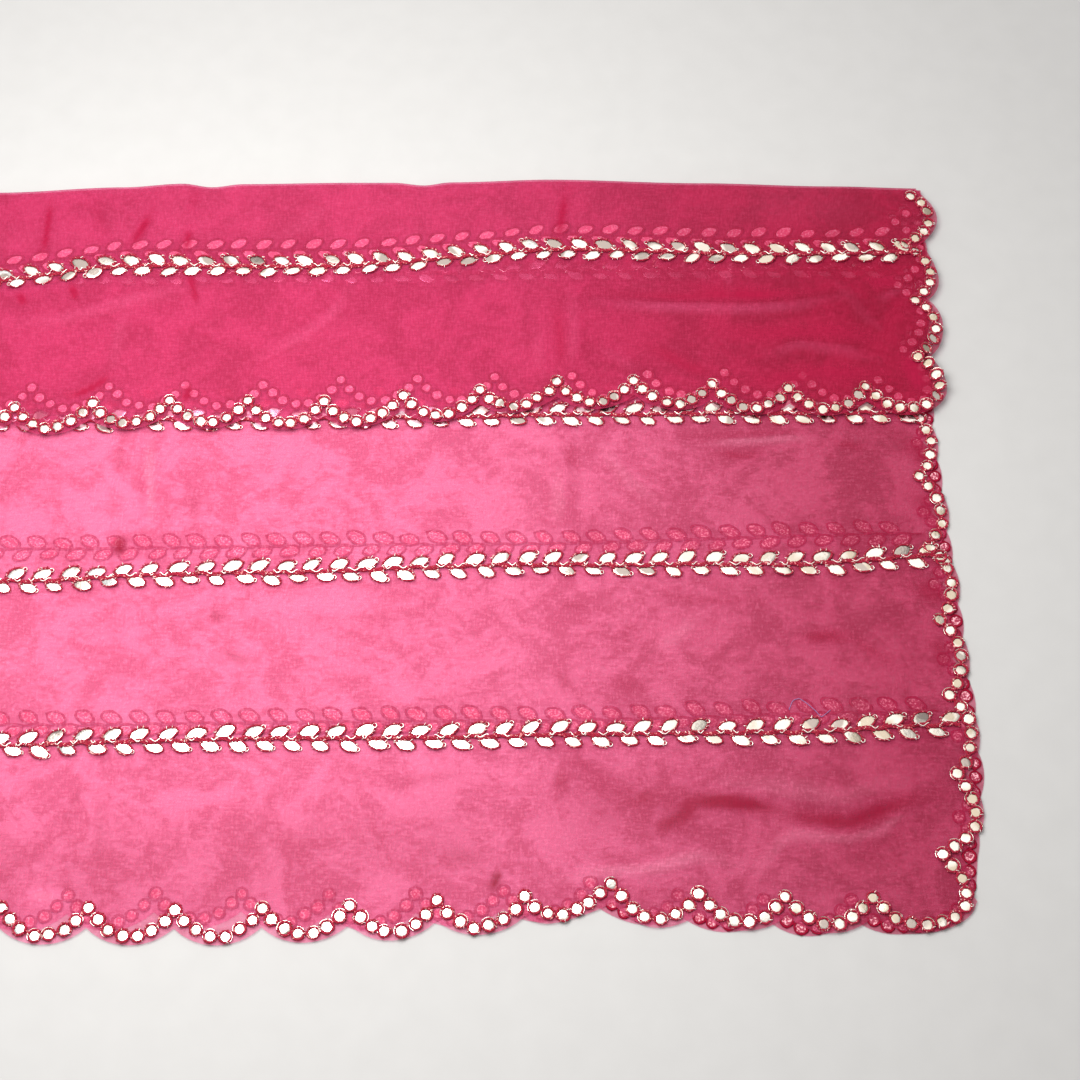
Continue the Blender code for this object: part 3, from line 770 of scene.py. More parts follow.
def organza(name, lit_fold_dye, shaded_end_dye, trough_shade, ridge_highlight_and_fleck, tint, covers, mottling, fleck):
    """Sheer dyed cloth: its colours at the fold and at the ends, with a painted fall of the light
    between them, and how much the yarn covers.
    """
    material, tree, place = new_material(name)
    to_end = toward_end(tree, place)
    warp = slubs(tree, place, (150, 560, 1))
    weft = slubs(tree, place, (560, 170, 1), Location=(3, 7, 0))
    weave = arithmetic(tree, "ADD", warp, weft)
    clouds = noise(tree, place, 20.0, 6.0, FLAT, Roughness=0.68, Distortion=0.6)
    tilted = add(tree, "Mapping", Vector=place, Scale=(80, 150, 1), Rotation=(0, 0, 0.3))
    wisps = noise(tree, tilted.outputs[0], 1.0, 3.0, FLAT, Distortion=1.2)
    mottle = arithmetic(tree, "MULTIPLY_ADD", wisps, 0.5, clouds)
    depth = remap(tree, mottle, *MOTTLE, 0.5 - mottling / 2, 0.5 + mottling / 2)
    # painted fall of the light: the colours go from lit at the fold to shaded at the ends
    yarn = blend(tree, to_end, lit_fold_dye.yarn, shaded_end_dye.yarn)
    shade = blend(tree, to_end, lit_fold_dye.shade, shaded_end_dye.shade)
    colour = blend(tree, depth, yarn, shade)

    # the skin's tone: painted shade in troughs and on slopes away from the light, painted
    # highlight on ridges, which fades towards the ends
    crease = add(tree, "Attribute", {"attribute_name": "crease"}).outputs["Fac"]
    ridge = remap(tree, crease, 0.5, 0.0, 0.0, remap(tree, to_end, 0.0, 1.0, 1.0, 0.5))
    trough = remap(tree, crease, 0.5, 1.0)
    flecks = remap(tree, weave, 1.0, 1.36, 0.0, remap(tree, to_end, 0.0, 1.0, fleck, fleck / 3))
    # the pale colour serves both the painted ridge highlight and the weave's flecks
    lighter = blend(tree, arithmetic(tree, "ADD", ridge, flecks, clamp=True), colour, ridge_highlight_and_fleck)
    tone = blend(tree, trough, lighter, trough_shade)

    # the yarn covers more towards the ends, as part of the painted fall of the light
    cover = remap(tree, to_end, 0.0, 1.0, *covers)
    cover = arithmetic(tree, "ADD", cover, remap(tree, weave, 0.7, 1.3, -0.07, 0.07))
    uneven = remap(tree, mottle, *MOTTLE, -0.05 * mottling, 0.05 * mottling)
    cover = arithmetic(tree, "ADD", cover, uneven)
    # painted shade: the cloth is made denser in a trough
    cover = arithmetic(tree, "MULTIPLY_ADD", trough, TROUGH_SHADE_COVER, cover, clamp=True)
    cloth = add(
        tree, "BsdfPrincipled", Base_Color=tone, Roughness=0.5, Sheen_Weight=0.05,
        Sheen_Roughness=0.4, Sheen_Tint=linear("#FFA8C2"), Specular_IOR_Level=0.12,
    )
    gaps = add(tree, "BsdfTransparent", Color=linear(tint))
    return finished(
        material, add(tree, "MixShader", _0=cover, _1=gaps.outputs[0], _2=cloth.outputs[0])
    )


pink_organza = organza(
    "pink_organza", DyeAsLit("#FA6FA0", "#D8507C"), DyeAsLit("#BC2C56", "#A02244"),
    "#8E0E30", "#FF9CBC", "#FCE6F0", (0.35, 0.47), 1.15, 0.30,
)
# a shaded copy of the same organza: its colours are painted deeper, as shade, for the flap
shaded_flap_organza = organza(
    "shaded_flap_organza", DyeAsLit("#D64573", "#B43056"), DyeAsLit("#BC2048", "#961735"),
    "#A40E3A", "#EE6492", "#F8D4E6", (0.38, 0.46), 0.6, 0.15,
)
for piece, cloth in (
    (back_cloth, pink_organza), (front_cloth, pink_organza),
    (under_flap_cloth, shaded_flap_organza), (flap_cloth, shaded_flap_organza),
):
    piece.data.materials.append(cloth)
    print(piece.name, "is of", cloth.name)

# %% [markdown]
# ## Foil and thread
# The leaves and discs are gota: a thin polished metal foil on a stiff backing, cut to shape and
# sewn down. It is a metal, so it keeps the default IOR and its colour is its reflection. Handling
# leaves it faintly dented, which a slow bump gives. The thread is a soft crimson two-ply with a
# fine metal strand wound round it here and there. On the wrong side the foil's dyed paper back and
# the same thread show, flatter and with no metal in it.

# %% Foil and thread
def gota_foil():
    """Pale gold foil with shallow dents, 3 mm apart: some tarnished, and painted duller towards
    the ends as a dimmer reflection.
    """
    material, tree, place = new_material("gota_foil")
    patches = noise(tree, place, 48.0, 1.0)
    colour = blend(tree, remap(tree, patches, 0.44, 0.60), "#FFFDF8", "#F0E4D6")
    # painted reflection: some foils towards the ends are painted duller, as if they mirrored less
    # light
    painted_dull_reflection = arithmetic(
        tree, "MULTIPLY", remap(tree, patches, 0.60, 0.42), toward_end(tree, place)
    )
    colour = blend(tree, painted_dull_reflection, colour, "#C6B6A0")
    tarnish = remap(tree, noise(tree, place, 37.0, 0.0), 0.62, 0.67)
    colour = blend(tree, tarnish, colour, "#B3A59B")
    dents = noise(tree, place, 330.0)
    relief = add(tree, "Bump", Height=dents, Strength=0.25, Distance=0.0006)
    return finished(material, add(
        tree, "BsdfPrincipled", Base_Color=colour, Metallic=1.0, Roughness=0.2,
        Normal=relief.outputs[0],
    ))


def crimson_thread():
    """Matt twisted thread, its turns drawn 1.3 mm apart with painted shade between them, and bits
    of metal in it shown as pale specks of painted glint.
    """
    material, tree, place = new_material("crimson_thread")
    turns = add(
        tree, "TexWave", {"bands_direction": "DIAGONAL"},
        Vector=place, Scale=330.0, Distortion=2.5, Detail=1.0,
    ).outputs["Fac"]
    # painted shade: the thread is darker between its turns
    groove_shade = arithmetic(tree, "MULTIPLY", turns, noise(tree, place, 900.0))
    colour = blend(tree, groove_shade, "#8A0A28", "#CC2648")
    # pale specks for the bits of metal in the thread, painted as glints
    glint = remap(tree, noise(tree, place, 520.0, 1.0), 0.63, 0.68)
    colour = blend(tree, glint, colour, "#F0A6A2")
    relief = add(tree, "Bump", Height=turns, Strength=0.5, Distance=0.0003)
    return finished(material, add(
        tree, "BsdfPrincipled", Base_Color=colour, Roughness=0.62,
        Normal=relief.outputs[0], Sheen_Weight=0.1, Specular_IOR_Level=0.15,
    ))


def foil_backing(name, paper_lit_at_fold, paper_shaded_at_end, speck):
    """The dyed paper back of the foil, speckled by glue, as seen from the wrong side, and painted
    darker towards the ends as shade.
    """
    material, tree, place = new_material(name)
    # painted shade: the paper is darker towards the ends, where the light falls off
    paper = blend(tree, toward_end(tree, place), paper_lit_at_fold, paper_shaded_at_end)
    colour = blend(tree, remap(tree, noise(tree, place, 640.0), 0.50, 0.64), paper, speck)
    return finished(material, add(tree, "BsdfPrincipled", Base_Color=colour, Roughness=0.7))


def fine_fibre(name, scale, dark, bright, **finish):
    """A fibre or wire too thin to show more than a colour that wavers between two swatches."""
    material, tree, place = new_material(name)
    colour = blend(tree, noise(tree, place, scale), dark, bright)
    return finished(material, add(tree, "BsdfPrincipled", Base_Color=colour, **finish))


RIGHT_SIDE = (
    gota_foil(),
    crimson_thread(),
    fine_fibre("metal_strand", 700.0, "#F7E3DC", "#FFF8EC", Metallic=0.7, Roughness=0.3),
    fine_fibre("mauve_thread", 900.0, "#6E4A86", "#A987B4", Roughness=0.7),
)
FLAT_THREAD = fine_fibre(
    "wrong_side_thread", 700.0, "#78051F", "#A60F34", Roughness=0.8, Specular_IOR_Level=0.1
)
BACK_WRONG_SIDE = (foil_backing("back_paper", "#C83458", "#9A2844", "#FFB6C0"), FLAT_THREAD)
FLAP_WRONG_SIDE = (foil_backing("flap_paper", "#E87E98", "#DC6A84", "#FFC6CE"), FLAT_THREAD)
print("sewn work uses:", [m.name for m in RIGHT_SIDE + BACK_WRONG_SIDE + FLAP_WRONG_SIDE[:1]])

# %% [markdown]
# ## Patterns for the sewn work
# Each leaf and disc is made once as a small pattern and then laid many times, turned, sized and
# tilted a little differently each time, as hand-sewn work is. A pattern is a list of points and
# faces with a material for each. A tube round a closed line makes the ring of thread.

# %% Patterns
Pattern = namedtuple("Pattern", "points faces slots")
FOIL_SLOT, THREAD_SLOT, STRAND_SLOT, MAUVE_SLOT = 0, 1, 2, 3


def dome(outline, height, slot):
    """A thin foil, a little higher in its middle than at its rim."""
    rim = np.array(outline)
    middle = rim.mean(0)
    count = len(rim)
    rings = [np.c_[middle + (rim - middle) * s, np.full(count, h)] for s, h in
             ((1.0, 0.0), (0.93, height * 0.7), (0.55, height))]
    points = np.concatenate([*rings, [[*middle, height * 1.1]]])
    faces = [
        (r * count + k, r * count + (k + 1) % count, (r + 1) * count + (k + 1) % count,
         (r + 1) * count + k)
        for r in range(2)
        for k in range(count)
    ]
    faces += [(2 * count + k, 2 * count + (k + 1) % count, 3 * count) for k in range(count)]
    return Pattern(points, faces, [slot] * len(faces))


def tube(line, radius, sides, slot, closed=False):
    """A thin tube along a line of points."""
    line = np.array(line, float)
    count = len(line)
    if closed:
        run = np.roll(line, -1, 0) - np.roll(line, 1, 0)
    else:
        run = np.gradient(line, axis=0)
    run /= np.linalg.norm(run, axis=1, keepdims=True)
    side = np.cross(run, (0, 0, 1.0))
    side /= np.linalg.norm(side, axis=1, keepdims=True)
    up = np.cross(side, run)
    turns = 2 * math.pi * np.arange(sides) / sides
    points = (
        line[:, None] + radius * np.cos(turns)[None, :, None] * side[:, None]
        + radius * np.sin(turns)[None, :, None] * up[:, None]
    ).reshape(-1, 3)
    faces = []
    for k in range(count if closed else count - 1):
        here, there = k * sides, (k + 1) % count * sides
        faces += [
            (here + s, here + (s + 1) % sides, there + (s + 1) % sides, there + s)
            for s in range(sides)
        ]
    return Pattern(points, faces, [slot] * len(faces))


def join(patterns):
    """Several patterns as one."""
    points, faces, slots, shift = [], [], [], 0
    for p in patterns:
        points.append(p.points)
        faces += [tuple(k + shift for k in f) for f in p.faces]
        slots += p.slots
        shift += len(p.points)
    return Pattern(np.concatenate(points), faces, slots)


def arc(centre, radius, start, sweep, count, z):
    """Points on a flat arc."""
    turns = start + sweep * np.arange(count) / (count - 1)
    return np.c_[centre[0] + radius * np.cos(turns), centre[1] + radius * np.sin(turns),
                 np.full(count, z)]


print("faces of a small tube:", len(tube([(0, 0, 0), (1, 0, 0), (2, 0, 0)], 0.1, 4, 0).faces))

# %% [markdown]
# ## One leaf, one disc
# A leaf is an almond of foil, a disc a round of it, both snipped by hand with straight cuts. A
# ring of thread covers the rim, and short stitches cross it.

# %% Cutting and stitching
LEAF_LENGTH = 0.0150
LEAF_WIDTH = 0.0086
DISC_RADIUS = 0.0041


def leaf_outline(count, grow=0.0):
    """An almond shape from its root at the origin to its tip along +X."""
    turns = 2 * math.pi * np.arange(count) / count
    x = LEAF_LENGTH / 2 * (1 - np.cos(turns))
    y = np.sign(np.sin(turns)) * np.abs(np.sin(turns)) ** 1.15 * LEAF_WIDTH / 2
    y *= 1.06 - 0.12 * x / LEAF_LENGTH
    middle = LEAF_LENGTH / 2
    return np.c_[middle + (x - middle) * (1 + grow / middle), y * (1 + grow / LEAF_WIDTH * 2)]


def stitched_ring(flat, radius, seed, height=1.0):
    """A closed ring of thread over the foil's rim, thick and thin as single stitches are."""
    rng = random.Random(seed)
    middle = np.mean(flat, axis=0)
    flat = middle + (np.array(flat) - middle) * np.array(
        [[rng.uniform(0.95, 1.05)] for _ in flat]
    )
    line = np.c_[flat, [rng.uniform(0.0002, 0.0006) for _ in flat]]
    ring = tube(line, radius, 4, THREAD_SLOT, closed=True)
    swell = np.repeat([rng.uniform(0.65, 1.35) for _ in flat], 4)[:, None]
    spine = np.repeat(line, 4, axis=0)
    return ring._replace(points=(spine + (ring.points - spine) * swell) * (1, 1, height))


def hand_cut(outline, corners, seed):
    """An outline as scissors cut it: straight snips between a few of its points."""
    rng = random.Random(200 + seed)
    count = len(outline)
    shift = rng.uniform(0, 1)
    at = [(k + shift + rng.uniform(-0.22, 0.22)) * count / corners for k in range(corners)]
    steps = np.arange(count)
    closed = np.vstack([outline, outline[:1]])
    picks = [[np.interp(a % count, range(count + 1), closed[:, k]) for a in at] for k in (0, 1)]
    return np.stack([np.interp(steps, at, p, period=count) for p in picks], 1)


def cross_stitches(outline, count, seed):
    """Short stitches that cross the ring and hold the foil down, a few of them metal."""
    rng = random.Random(300 + seed)
    middle = np.mean(outline, axis=0)
    stitches = []
    for _ in range(count):
        spot = outline[rng.randrange(len(outline))]
        out = (spot - middle) / np.linalg.norm(spot - middle)
        way = out + rng.uniform(-0.9, 0.9) * np.array((-out[1], out[0]))
        way *= 0.0010 / np.linalg.norm(way)
        line = np.c_[[spot - way, spot, spot + 1.3 * way], [0.0012, 0.0016, 0.0010]]
        slot = STRAND_SLOT if rng.random() < 0.22 else THREAD_SLOT
        stitches.append(tube(line, 0.00034, 3, slot))
    return stitches


print("corners of a leaf before it is cut:", len(leaf_outline(22)))

# %% [markdown]
# ## Leaves and discs, put together
# A strand of metal makes a loop at some tips, and a bit of some discs' rims shows outside the
# ring. For the wrong side the same pieces are pressed flat and have no cross stitches. Ten leaves
# and twelve discs are enough that no two neighbours look alike.

# %% Leaves and discs
def leaf_pattern(seed, with_loop, count=22):
    """A foil leaf with its ring of thread, and on some a loop of metal strand at the tip."""
    flatness, thick = (0.4, 0.00098) if with_loop is None else (1.0, 0.00080)
    parts = [dome(hand_cut(leaf_outline(count, 0.0002), 8, seed), 0.00012, FOIL_SLOT),
             stitched_ring(leaf_outline(count, 0.0008), thick, seed, flatness)]
    if with_loop is not None:
        parts += cross_stitches(leaf_outline(count, 0.0010), 12, seed)
    if with_loop:
        loop = arc((LEAF_LENGTH + 0.0006, 0.0), 0.0017, -2.6, 5.0, 9, 0.0010)
        parts.append(tube(loop, 0.00042, 3, STRAND_SLOT))
    return join(parts)


def disc_pattern(seed, rim_start, rim_sweep, count=18):
    """A foil disc with its ring of thread, and the strip of its rim that shows outside."""
    turns = 2 * math.pi * np.arange(count) / count
    flat = np.c_[np.cos(turns), np.sin(turns)]
    flatness = 0.4 if rim_sweep is None else 1.0
    parts = [dome(hand_cut(flat * DISC_RADIUS * 1.04, 9, seed), 0.0001, FOIL_SLOT),
             stitched_ring(flat * (DISC_RADIUS + 0.0007), 0.00098, seed, flatness)]
    if rim_sweep is not None:
        parts += cross_stitches(flat * (DISC_RADIUS + 0.0008), 8, seed)
    if rim_sweep:
        rim = arc((0, 0), DISC_RADIUS + 0.0016, rim_start, rim_sweep, 9, 0.0004)
        parts.append(tube(rim, 0.00042, 4, FOIL_SLOT))
    return join(parts)


LEAVES = [leaf_pattern(seed, seed % 2 == 0) for seed in range(10)]
DISCS = [
    disc_pattern(seed, random.Random(seed).uniform(-0.6, 1.6), (0.0, 1.8, 2.4, 2.1)[seed % 4])
    for seed in range(12)
]
WRONG_SIDE_LEAVES = [leaf_pattern(seed, None, 14) for seed in range(20, 26)]
WRONG_SIDE_DISCS = [disc_pattern(seed, None, None, 12) for seed in range(30, 36)]
print("leaf and disc patterns:", len(LEAVES), len(DISCS))

# %% [markdown]
# ## Laying the patterns on the cloth
# A pattern is turned in the plane, tilted with the cloth under it and lifted just clear of it.
# On the wrong side only the foil's paper back and flat stitches show through the cloth. They are
# drawn just above that cloth and kept flat, so that the next layer lies clear of them. All copies
# of a row go into one mesh, which Blender handles far faster than hundreds of objects.

# %% Laying the patterns
Spot = namedtuple("Spot", "x y turn size tilt_x tilt_y pattern")


def foil_points(pattern):
    """Which points of a pattern belong to its foil."""
    foil = np.zeros(len(pattern.points), bool)
    for face, slot in zip(pattern.faces, pattern.slots):
        if slot == FOIL_SLOT:
            foil[list(face)] = True
    return foil


def lay(stretch, spots, clear=0.00015):
    """Copies of the patterns on one stretch of cloth, as a list for one mesh."""
    x = np.array([s.x for s in spots])
    y = np.array([s.y for s in spots])
    z = cloth_z(stretch, x, y)
    step = 0.004
    slope_x = (cloth_z(stretch, x + step, y) - cloth_z(stretch, x - step, y)) / (2 * step)
    slope_y = (cloth_z(stretch, x, y + step) - cloth_z(stretch, x, y - step)) / (2 * step)
    turned = []
    for spot in spots:
        c, s = math.cos(spot.turn), math.sin(spot.turn)
        local = spot.pattern.points * spot.size
        turned.append(np.c_[local[:, 0] * c - local[:, 1] * s, local[:, 0] * s + local[:, 1] * c,
                            local[:, 2]])
    sizes = np.cumsum([len(t) for t in turned])[:-1]
    every = np.concatenate([t[:, :2] + (s.x, s.y) for t, s in zip(turned, spots)])
    cloths = np.split(cloth_z(stretch, every[:, 0], every[:, 1]), sizes)
    laid = []
    for k, (spot, own, cloth) in enumerate(zip(spots, turned, cloths)):
        flat = z[k] + own[:, 0] * (slope_x[k] + spot.tilt_x)
        flat += own[:, 1] * (slope_y[k] + spot.tilt_y)
        foil = foil_points(spot.pattern)
        flat += max((cloth - flat)[foil]) + clear
        pz = np.where(foil, flat, np.maximum(flat, cloth)) + own[:, 2]
        points = np.c_[own[:, :2] + (spot.x, spot.y), np.maximum(pz, 0.00005)]
        laid.append(spot.pattern._replace(points=points))
    return laid


def sew(name, patterns, materials=RIGHT_SIDE, pressed_by=None):
    """One object from many laid patterns, kept below the cloth that presses on it, if any."""
    whole = join(patterns)
    if pressed_by:
        x, y, z = whole.points.T
        whole.points[:, 2] = np.minimum(z, cloth_z(pressed_by, x, y) - 0.00015)
    data = bpy.data.meshes.new(name)
    data.from_pydata(whole.points.tolist(), [], whole.faces)
    data.polygons.foreach_set("material_index", whole.slots)
    for material in materials:
        data.materials.append(material)
    data.shade_smooth()
    piece = bpy.data.objects.new(name, data)
    bpy.context.scene.collection.objects.link(piece)
    print(f"{name}: {len(data.polygons)} faces")
    return piece


print("foil points in the first leaf:", int(foil_points(LEAVES[0]).sum()))

# %% [markdown]
# ## Vines
# Five vines run along the cloth. Each is a twisted stem with a leaf every 22 mm on either side,
# the two sides half a step apart. The front's vines grow to the right and the flap's, which belong
# to the other half of the cloth, to the left. The stem is three plies of thread, with a metal
# strand wound over them, and a stalk bends from it to each leaf. On the wrong side of the cloth
# only one thin ply and the stalks show.

# %% Vines
Vine = namedtuple("Vine", "stretch stem stops_at leaf_at points_to wrong_side")
STEP = LOBE / 3  # from one leaf to the next on the same side
VINES = {
    "vine_front_low": Vine(
        FRONT,
        ((-0.605, -0.196), (-0.200, -0.194), (0.042, -0.188), (0.450, -0.183), (0.600, -0.1755)),
        0.588, -0.1606, 1, False,
    ),
    "vine_front_middle": Vine(
        FRONT,
        ((-0.605, -0.054), (-0.200, -0.0505), (0.013, -0.0425), (0.240, -0.0357),
         (0.450, -0.035), (0.600, -0.026)),
        0.588, -0.1870, 1, False,
    ),
    "vine_front_high": Vine(
        FRONT, ((-0.605, 0.098), (-0.245, 0.101), (0.600, 0.110)), 0.578, 0.2390, 1, False
    ),
    "vine_flap": Vine(
        FLAP,
        ((-0.605, 0.240), (-0.230, 0.242), (-0.117, 0.257), (0.050, 0.257), (0.290, 0.275),
         (0.460, 0.2705), (0.600, 0.272)),
        0.590, 0.2510, -1, False,
    ),
    "back_low": Vine(
        BACK, ((-0.605, -0.178), (-0.157, -0.1757), (0.221, -0.1723), (0.600, -0.164)),
        0.572, -0.150, -1, True,
    ),
    "back_middle": Vine(
        BACK, ((-0.605, -0.022), (-0.175, -0.0199), (0.220, -0.0152), (0.600, -0.005)),
        0.572, -0.160, -1, True,
    ),
    "back_high": Vine(
        BACK, ((-0.605, 0.118), (0.000, 0.124), (0.600, 0.133)), 0.572, 0.010, -1, True
    ),
    "back_top": Vine(
        BACK, ((-0.605, 0.252), (0.000, 0.258), (0.600, 0.264)), 0.572, 0.005, -1, True
    ),
    "front_top": Vine(
        FRONT, ((-0.605, 0.246), (0.000, 0.252), (0.600, 0.258)), 0.566, 0.000, 1, False
    ),
    "under_flap_row": Vine(
        UNDER_FLAP,
        ((-0.605, 0.256), (-0.230, 0.259), (-0.117, 0.275), (0.050, 0.276), (0.290, 0.292),
         (0.460, 0.2880), (0.600, 0.290)),
        0.572, 0.2430, 1, True,
    ),
}


print("vines planned:", len(VINES))

# %% [markdown]
# ## Where the leaves lie
# The upper leaves of a vine lean out a little more and are a little larger than the lower ones.

# %% Leaves of a vine
ROOT_OUT = 0.0028  # from the stem's middle to the root of a leaf


def vine_spots(plan, seed):
    """Where a vine's leaves lie, and how each is turned."""
    rng = random.Random(seed)
    start = FOLD_X + 0.004
    spots = []
    for side, delay, lean in ((1, 0.0, 26.0), (-1, 0.5, 20.0)):
        first = plan.leaf_at + delay * STEP * plan.points_to
        for k in range(-60, 60):
            x = first + k * STEP + rng.uniform(-0.0008, 0.0008)
            tip = x + plan.points_to * LEAF_LENGTH
            if not (start < x < plan.stops_at and start < tip < plan.stops_at + 0.008):
                continue
            turn = math.radians(side * (lean + rng.gauss(0, 4.0)))
            if plan.points_to < 0:
                turn = math.pi - turn
            y = float(along(plan.stem, x)) + side * (ROOT_OUT + rng.uniform(-0.0004, 0.0004))
            size = rng.uniform(0.96, 1.10) if side > 0 else rng.uniform(0.88, 1.02)
            tilt = 0.02 if plan.wrong_side else 0.06
            spots.append(Spot(x, y, turn, size, rng.gauss(0, tilt), rng.gauss(0, tilt),
                              rng.choice(WRONG_SIDE_LEAVES if plan.wrong_side else LEAVES)))
    return spots


print("leaves on the lowest vine:", len(vine_spots(VINES["vine_front_low"], 40)))

# %% [markdown]
# ## Stems and stalks
# The plies wind round each other once in 8.5 mm. The metal strand is laid over them in short
# lengths, so it comes and goes.

# %% Stems and stalks
PLY_TURN = 0.0085
PLY_RADIUS, FLAT_PLY_RADIUS, STRAND_RADIUS = 0.00082, 0.00060, 0.00050
STALK_RADIUS, FLAT_STALK_RADIUS = 0.00072, 0.00050
STALK_RUN = 0.0085  # how far along the stem a stalk starts before its leaf


def stem_work(plan, seed):
    """The twisted stem of one vine, laid on the cloth."""
    rng = random.Random(seed)
    start = FOLD_X + 0.003
    count = int((plan.stops_at - start) / 0.0011)
    x = np.linspace(start, plan.stops_at, count)
    y = along(plan.stem, x)
    z = cloth_z(plan.stretch, x, y)
    wobble = ripple(seed, x, y, 0.0002, 0.012, 0.05)
    wobble += 0.0009 * np.sin(2 * math.pi * (x - plan.leaf_at) / STEP)
    if plan.wrong_side:
        line = np.c_[x, y + wobble, z + 0.0003][::2]
        return [tube(line, FLAT_PLY_RADIUS, 4, THREAD_SLOT)]
    parts = []
    for ply in range(3):
        turn = 2 * math.pi * (x / PLY_TURN + ply / 3)
        line = np.c_[x, y + wobble + 0.0011 * np.cos(turn), z + 0.0010 + 0.0006 * np.sin(turn)]
        parts.append(tube(line, PLY_RADIUS, 4, THREAD_SLOT))
    at = start
    while at < plan.stops_at - 0.02:
        length = rng.uniform(0.004, 0.011)
        part = (x > at) & (x < at + length)
        swing = 0.0013 * np.sin(2 * math.pi * (x[part] - at) / length + rng.uniform(0, 3))
        line = np.c_[x[part], y[part] + 0.0004 + swing, z[part] + 0.0022]
        if len(line) > 3:
            parts.append(tube(line, STRAND_RADIUS, 4, STRAND_SLOT))
        at += length + rng.uniform(0.003, 0.014)
    return parts


def stalks(plan, spots):
    """A short bent stalk of thread from the stem to the root of each leaf."""
    share = np.linspace(0, 1, 6)
    parts = []
    for spot in spots:
        back = plan.points_to * STALK_RUN
        from_y = float(along(plan.stem, spot.x - back))
        x = spot.x - back + (back + plan.points_to * 0.0015) * share
        y = from_y + (spot.y - from_y) * share**2
        z = cloth_z(plan.stretch, x, y) + (0.0003 if plan.wrong_side else 0.0012)
        radius = FLAT_STALK_RADIUS if plan.wrong_side else STALK_RADIUS
        parts.append(tube(np.c_[x, y, z], radius, 4, THREAD_SLOT))
    return parts


ROW_WORK = {}
for seed, (name, plan) in enumerate(VINES.items()):
    leaves = vine_spots(plan, 40 + seed)
    ROW_WORK[name] = lay(plan.stretch, leaves)
    ROW_WORK[name] += stem_work(plan, 60 + seed) + stalks(plan, leaves)
print("leaves and stems laid for", len(ROW_WORK), "vines")

# %% [markdown]
# ## Disc borders
# A line of foil discs follows every lobed edge, seven to a lobe, and climbs to one disc where
# two lobes meet. The discs are spaced evenly along that line, so it is walked from cusp to cusp.
# Two threads cross between each disc and the next. At the flap's end the cloth is crumpled, so
# a few discs stand nearly on edge there.

# %% Disc borders
DISC_STEP = 0.0117


def border_line(stretch, top):
    """The line of the discs, and where along it two lobes meet."""
    line, cusps = lobed_line(stretch, disc_rise, 36, FOLD_X + 0.006, top)
    return np.array(line), sorted({0, *cusps, len(line) - 1})


def border_spots(stretch, top, seed, patterns):
    """Where the discs of one stretch lie."""
    rng = random.Random(seed)
    line, marks = border_line(stretch, top)
    spots = []
    for a, b in zip(marks, marks[1:]):
        part = line[a : b + 1]
        walked = np.r_[0, np.cumsum(np.hypot(*np.diff(part, axis=0).T))]
        count = max(round(walked[-1] / DISC_STEP), 1)
        for k in range(count):
            at = walked[-1] * k / count
            x = np.interp(at, walked, part[:, 0]) + rng.gauss(0, 0.0005)
            y = np.interp(at, walked, part[:, 1]) + rng.gauss(0, 0.0005)
            turn, size = rng.gauss(0, 0.35), rng.uniform(0.92, 1.08)
            tilt_x, tilt_y = rng.gauss(0, 0.05), rng.gauss(0, 0.05)
            if patterns is WRONG_SIDE_DISCS:
                tilt_x, tilt_y = tilt_x * 0.3, tilt_y * 0.3
            elif stretch is FLAP and x > 0.58 and 0.120 < y < 0.190:
                tilt_x += rng.choice((-0.5, 0.45))
            spots.append(Spot(x, y, turn, size, tilt_x, tilt_y, rng.choice(patterns)))
    return spots


def border_links(stretch, spots, radius):
    """Two short threads that cross between each disc and the next."""
    share = np.linspace(0.28, 0.72, 6)
    threads = []
    for a, b in zip(spots, spots[1:]):
        run = np.array((b.x - a.x, b.y - a.y))
        side = np.array((-run[1], run[0])) / np.linalg.norm(run)
        for way in (1, -1):
            swing = way * 0.0024 * np.cos(math.pi * (share - 0.28) / 0.44)
            x = a.x + run[0] * share + side[0] * swing
            y = a.y + run[1] * share + side[1] * swing
            z = cloth_z(stretch, x, y) + radius * 0.7 + way * radius * 0.2
            threads.append(tube(np.c_[x, y, z], radius, 4, THREAD_SLOT))
    return threads


BORDER_WORK = {}
for name, stretch, top, seed, patterns in (
    ("discs_front", FRONT, 0.332, 81, DISCS),
    ("discs_flap", FLAP, 0.342, 82, DISCS),
    ("back_discs", BACK, 0.332, 83, WRONG_SIDE_DISCS),
    ("under_flap_discs", UNDER_FLAP, 0.330, 84, WRONG_SIDE_DISCS),
):
    discs = border_spots(stretch, top, seed, patterns)
    radius = 0.0005 if patterns is WRONG_SIDE_DISCS else 0.0008
    BORDER_WORK[name] = lay(stretch, discs) + border_links(stretch, discs, radius)
    print(f"{name}: {len(discs)} discs")

# %% [markdown]
# ## A loose end of thread
# Hand work leaves a thread end here and there. The one near the lowest vine is thinner and more
# mauve than the rest. It starts under a leaf, makes one small turn and lies on the cloth, so it is
# a part of that vine's work.

# %% Loose end
LOOSE_END = (
    (0.452, -0.1640), (0.4555, -0.1555), (0.461, -0.1535), (0.467, -0.1580), (0.473, -0.1640),
    (0.4775, -0.1700), (0.4815, -0.1670), (0.4855, -0.1635),
)


def loose_end():
    """The thread end, eased through its points."""
    places = np.array(LOOSE_END)
    at = np.linspace(0, len(places) - 1, 50)
    eased_at = [np.interp(at, range(len(places)), places[:, k]) for k in (0, 1)]
    kernel = np.array([1, 2, 3, 2, 1]) / 9
    x, y = (np.convolve(np.pad(v, 2, mode="edge"), kernel, mode="valid") for v in eased_at)
    return tube(np.c_[x, y, cloth_z(FRONT, x, y) + 0.0006], 0.0003, 4, MAUVE_SLOT)


ROW_WORK["vine_front_low"].append(loose_end())
print("loose end laid")

